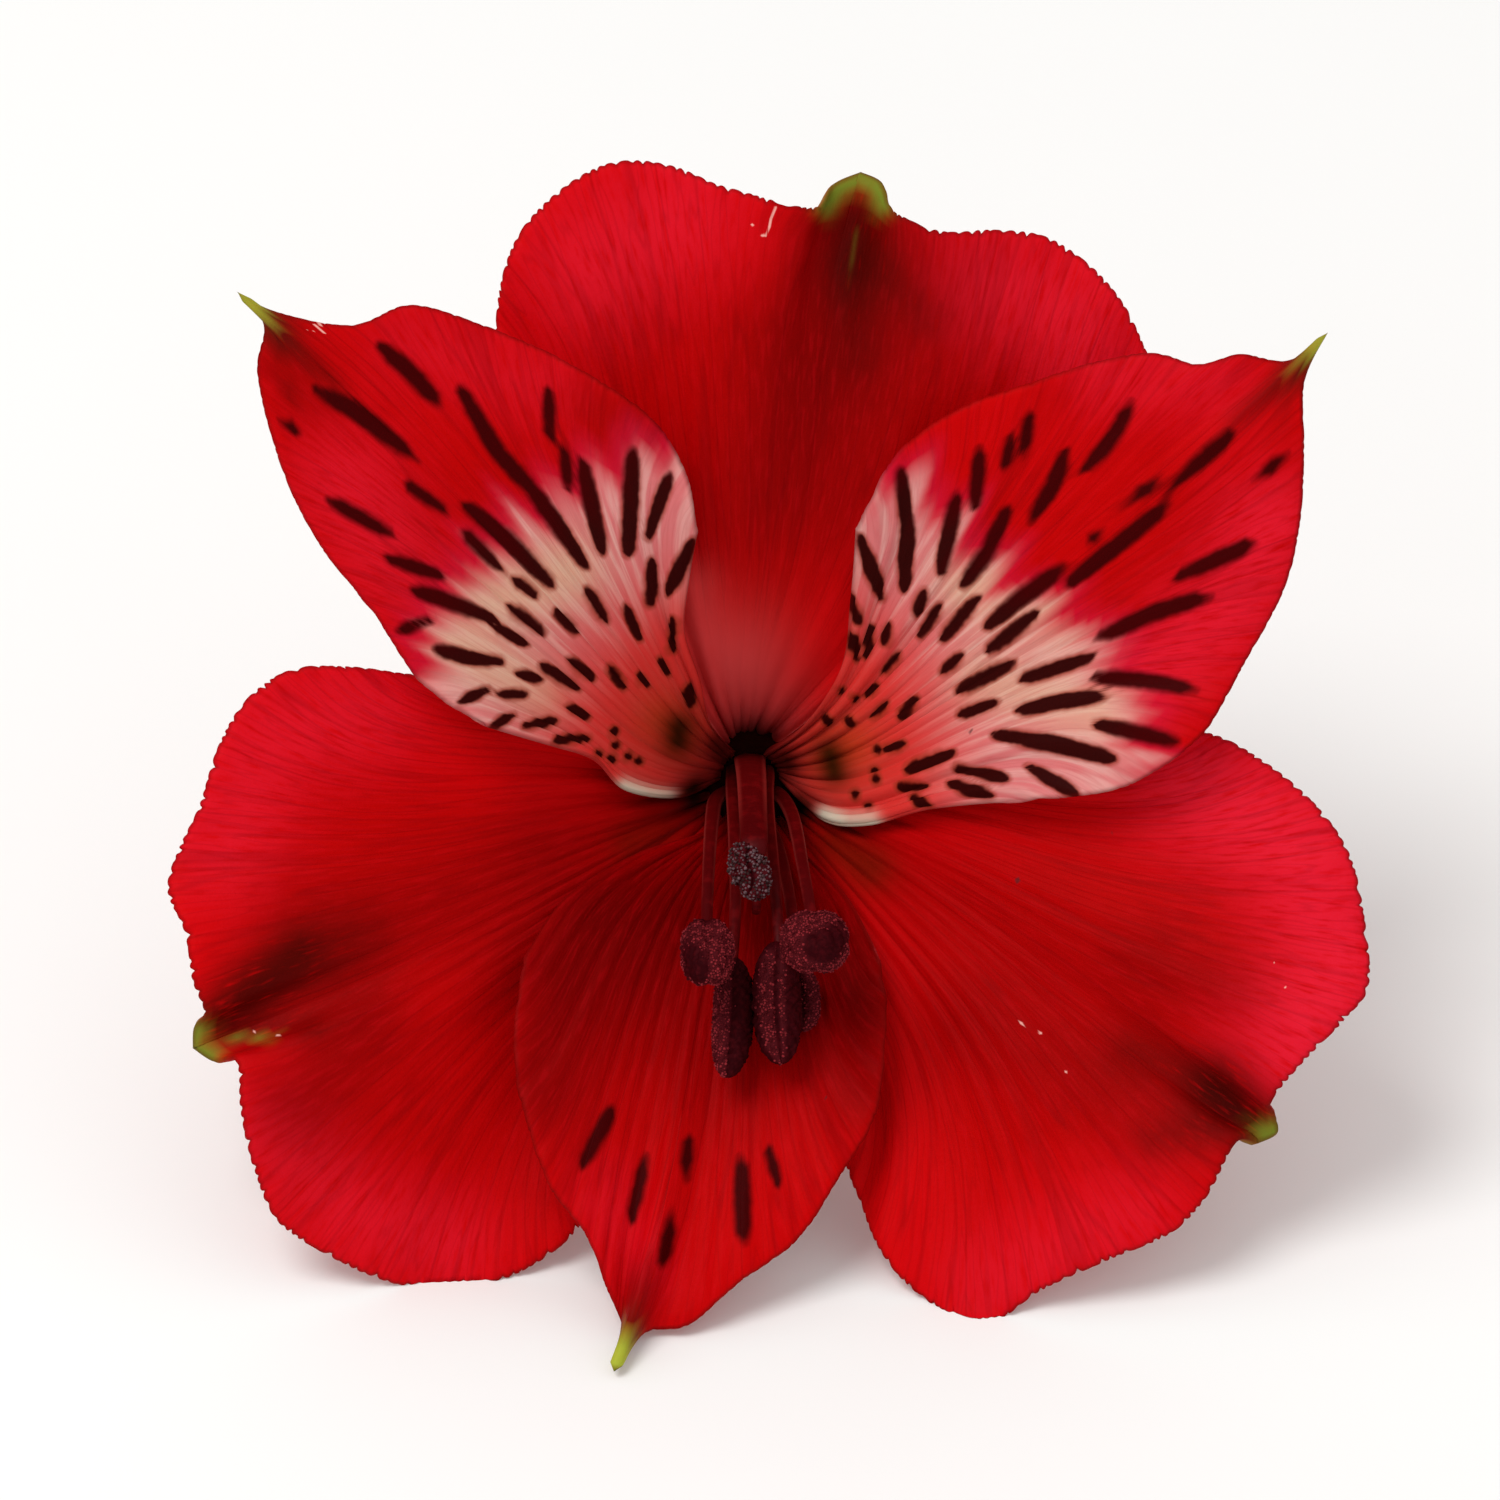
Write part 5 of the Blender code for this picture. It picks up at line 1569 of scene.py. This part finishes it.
class BLOOM_OT_stalk(bpy.types.Operator):
    """Makes the ribbed ovary and the stalk with its cut end"""

    bl_idname = "bloom.stalk"
    bl_label = "Ovary and stalk"

    def execute(self, context):
        points, faces, channels, uv = stalk_shape()
        mesh = new_mesh("ovary_and_cut_stalk", points, faces, [stalk_skin()])
        mesh.set_sharp_from_angle(angle=math.radians(EDGES_SHARP_FROM_DEG))
        for name, values in channels.items():
            write_attribute(mesh, name, values)
        write_uv(mesh, "stalk_mm", uv)
        place_piece("ovary_and_cut_stalk", mesh, "ovary_and_stalk")
        return {"FINISHED"}


class BLOOM_OT_stage(bpy.types.Operator):
    """Makes the pale floor, the soft light and the camera that looks into the throat"""

    bl_idname = "bloom.stage"
    bl_label = "Stage"

    def execute(self, context):
        settings = context.scene.bloom_stage
        half = settings.floor / 2
        floor = bpy.data.meshes.new("floor")
        corners = [(-half, -half, 0), (half, -half, 0), (half, half, 0), (-half, half, 0)]
        floor.from_pydata(corners, [], [(0, 1, 2, 3)])
        floor.materials.append(stage_card())
        piece = bpy.data.objects.new("floor", floor)
        context.scene.collection.objects.link(piece)
        world = bpy.data.worlds.new("studio")
        world.use_nodes = True
        background = world.node_tree.nodes["Background"]
        background.inputs["Color"].default_value = (1.0, 1.0, 1.0, 1.0)
        background.inputs["Strength"].default_value = settings.sky
        context.scene.world = world
        target = Vector(in_world(VIEW_TARGET))
        turn = Matrix(AXES.tolist()).transposed().to_4x4()
        camera = bpy.data.cameras.new("camera")
        camera.lens = settings.lens
        camera.sensor_width = 36.0
        camera.clip_start = 0.01
        viewer = bpy.data.objects.new("camera", camera)
        viewer.matrix_world = Matrix.Translation(target + Vector(AXES[2]) * settings.distance) @ turn
        context.scene.collection.objects.link(viewer)
        context.scene.camera = viewer
        for name, (place, size, power) in LIGHTS.items():
            light = bpy.data.lights.new(name, "AREA")
            light.shape = "DISK"
            light.size = size
            light.energy = power * settings.key
            lamp = bpy.data.objects.new(name, light)
            position = Vector(in_world(np.array(place) / MM))
            aim = (target - position).to_track_quat("-Z", "Y").to_matrix().to_4x4()
            lamp.matrix_world = Matrix.Translation(position) @ aim
            context.scene.collection.objects.link(lamp)
        context.scene.view_settings.view_transform = "Standard"
        return {"FINISHED"}


OPERATORS = [
    BLOOM_OT_stage,
    BLOOM_OT_stalk,
    BLOOM_OT_outer_petals,
    BLOOM_OT_inner_petals,
    BLOOM_OT_filaments,
    BLOOM_OT_anthers,
]


class BLOOM_PT_panel(bpy.types.Panel):
    """Lists the bloom's operators in the sidebar"""

    bl_label = "Alstroemeria bloom"
    bl_space_type = "VIEW_3D"
    bl_region_type = "UI"
    bl_category = "Bloom"

    def draw(self, context):
        for operator in OPERATORS:
            self.layout.operator(operator.bl_idname)


SETTINGS = {
    "bloom_outer": PetalSettings,
    "bloom_inner": PetalSettings,
    "bloom_stamens": StamenSettings,
    "bloom_stage": StageSettings,
}


def register():
    for group in (PetalSettings, StamenSettings, StageSettings):
        bpy.utils.register_class(group)
    for name, group in SETTINGS.items():
        setattr(bpy.types.Scene, name, bpy.props.PointerProperty(type=group))
    for made in (*OPERATORS, BLOOM_PT_panel):
        bpy.utils.register_class(made)


def unregister():
    for made in (BLOOM_PT_panel, *reversed(OPERATORS)):
        bpy.utils.unregister_class(made)
    for name in SETTINGS:
        delattr(bpy.types.Scene, name)
    for group in (StageSettings, StamenSettings, PetalSettings):
        bpy.utils.unregister_class(group)


def main():
    register()
    for name, value in INNER_VALUES.items():
        setattr(bpy.context.scene.bloom_inner, name, value)
    for operator in OPERATORS:
        package, name = operator.bl_idname.split(".")
        getattr(getattr(bpy.ops, package), name)()


if __name__ == "__main__":
    main()
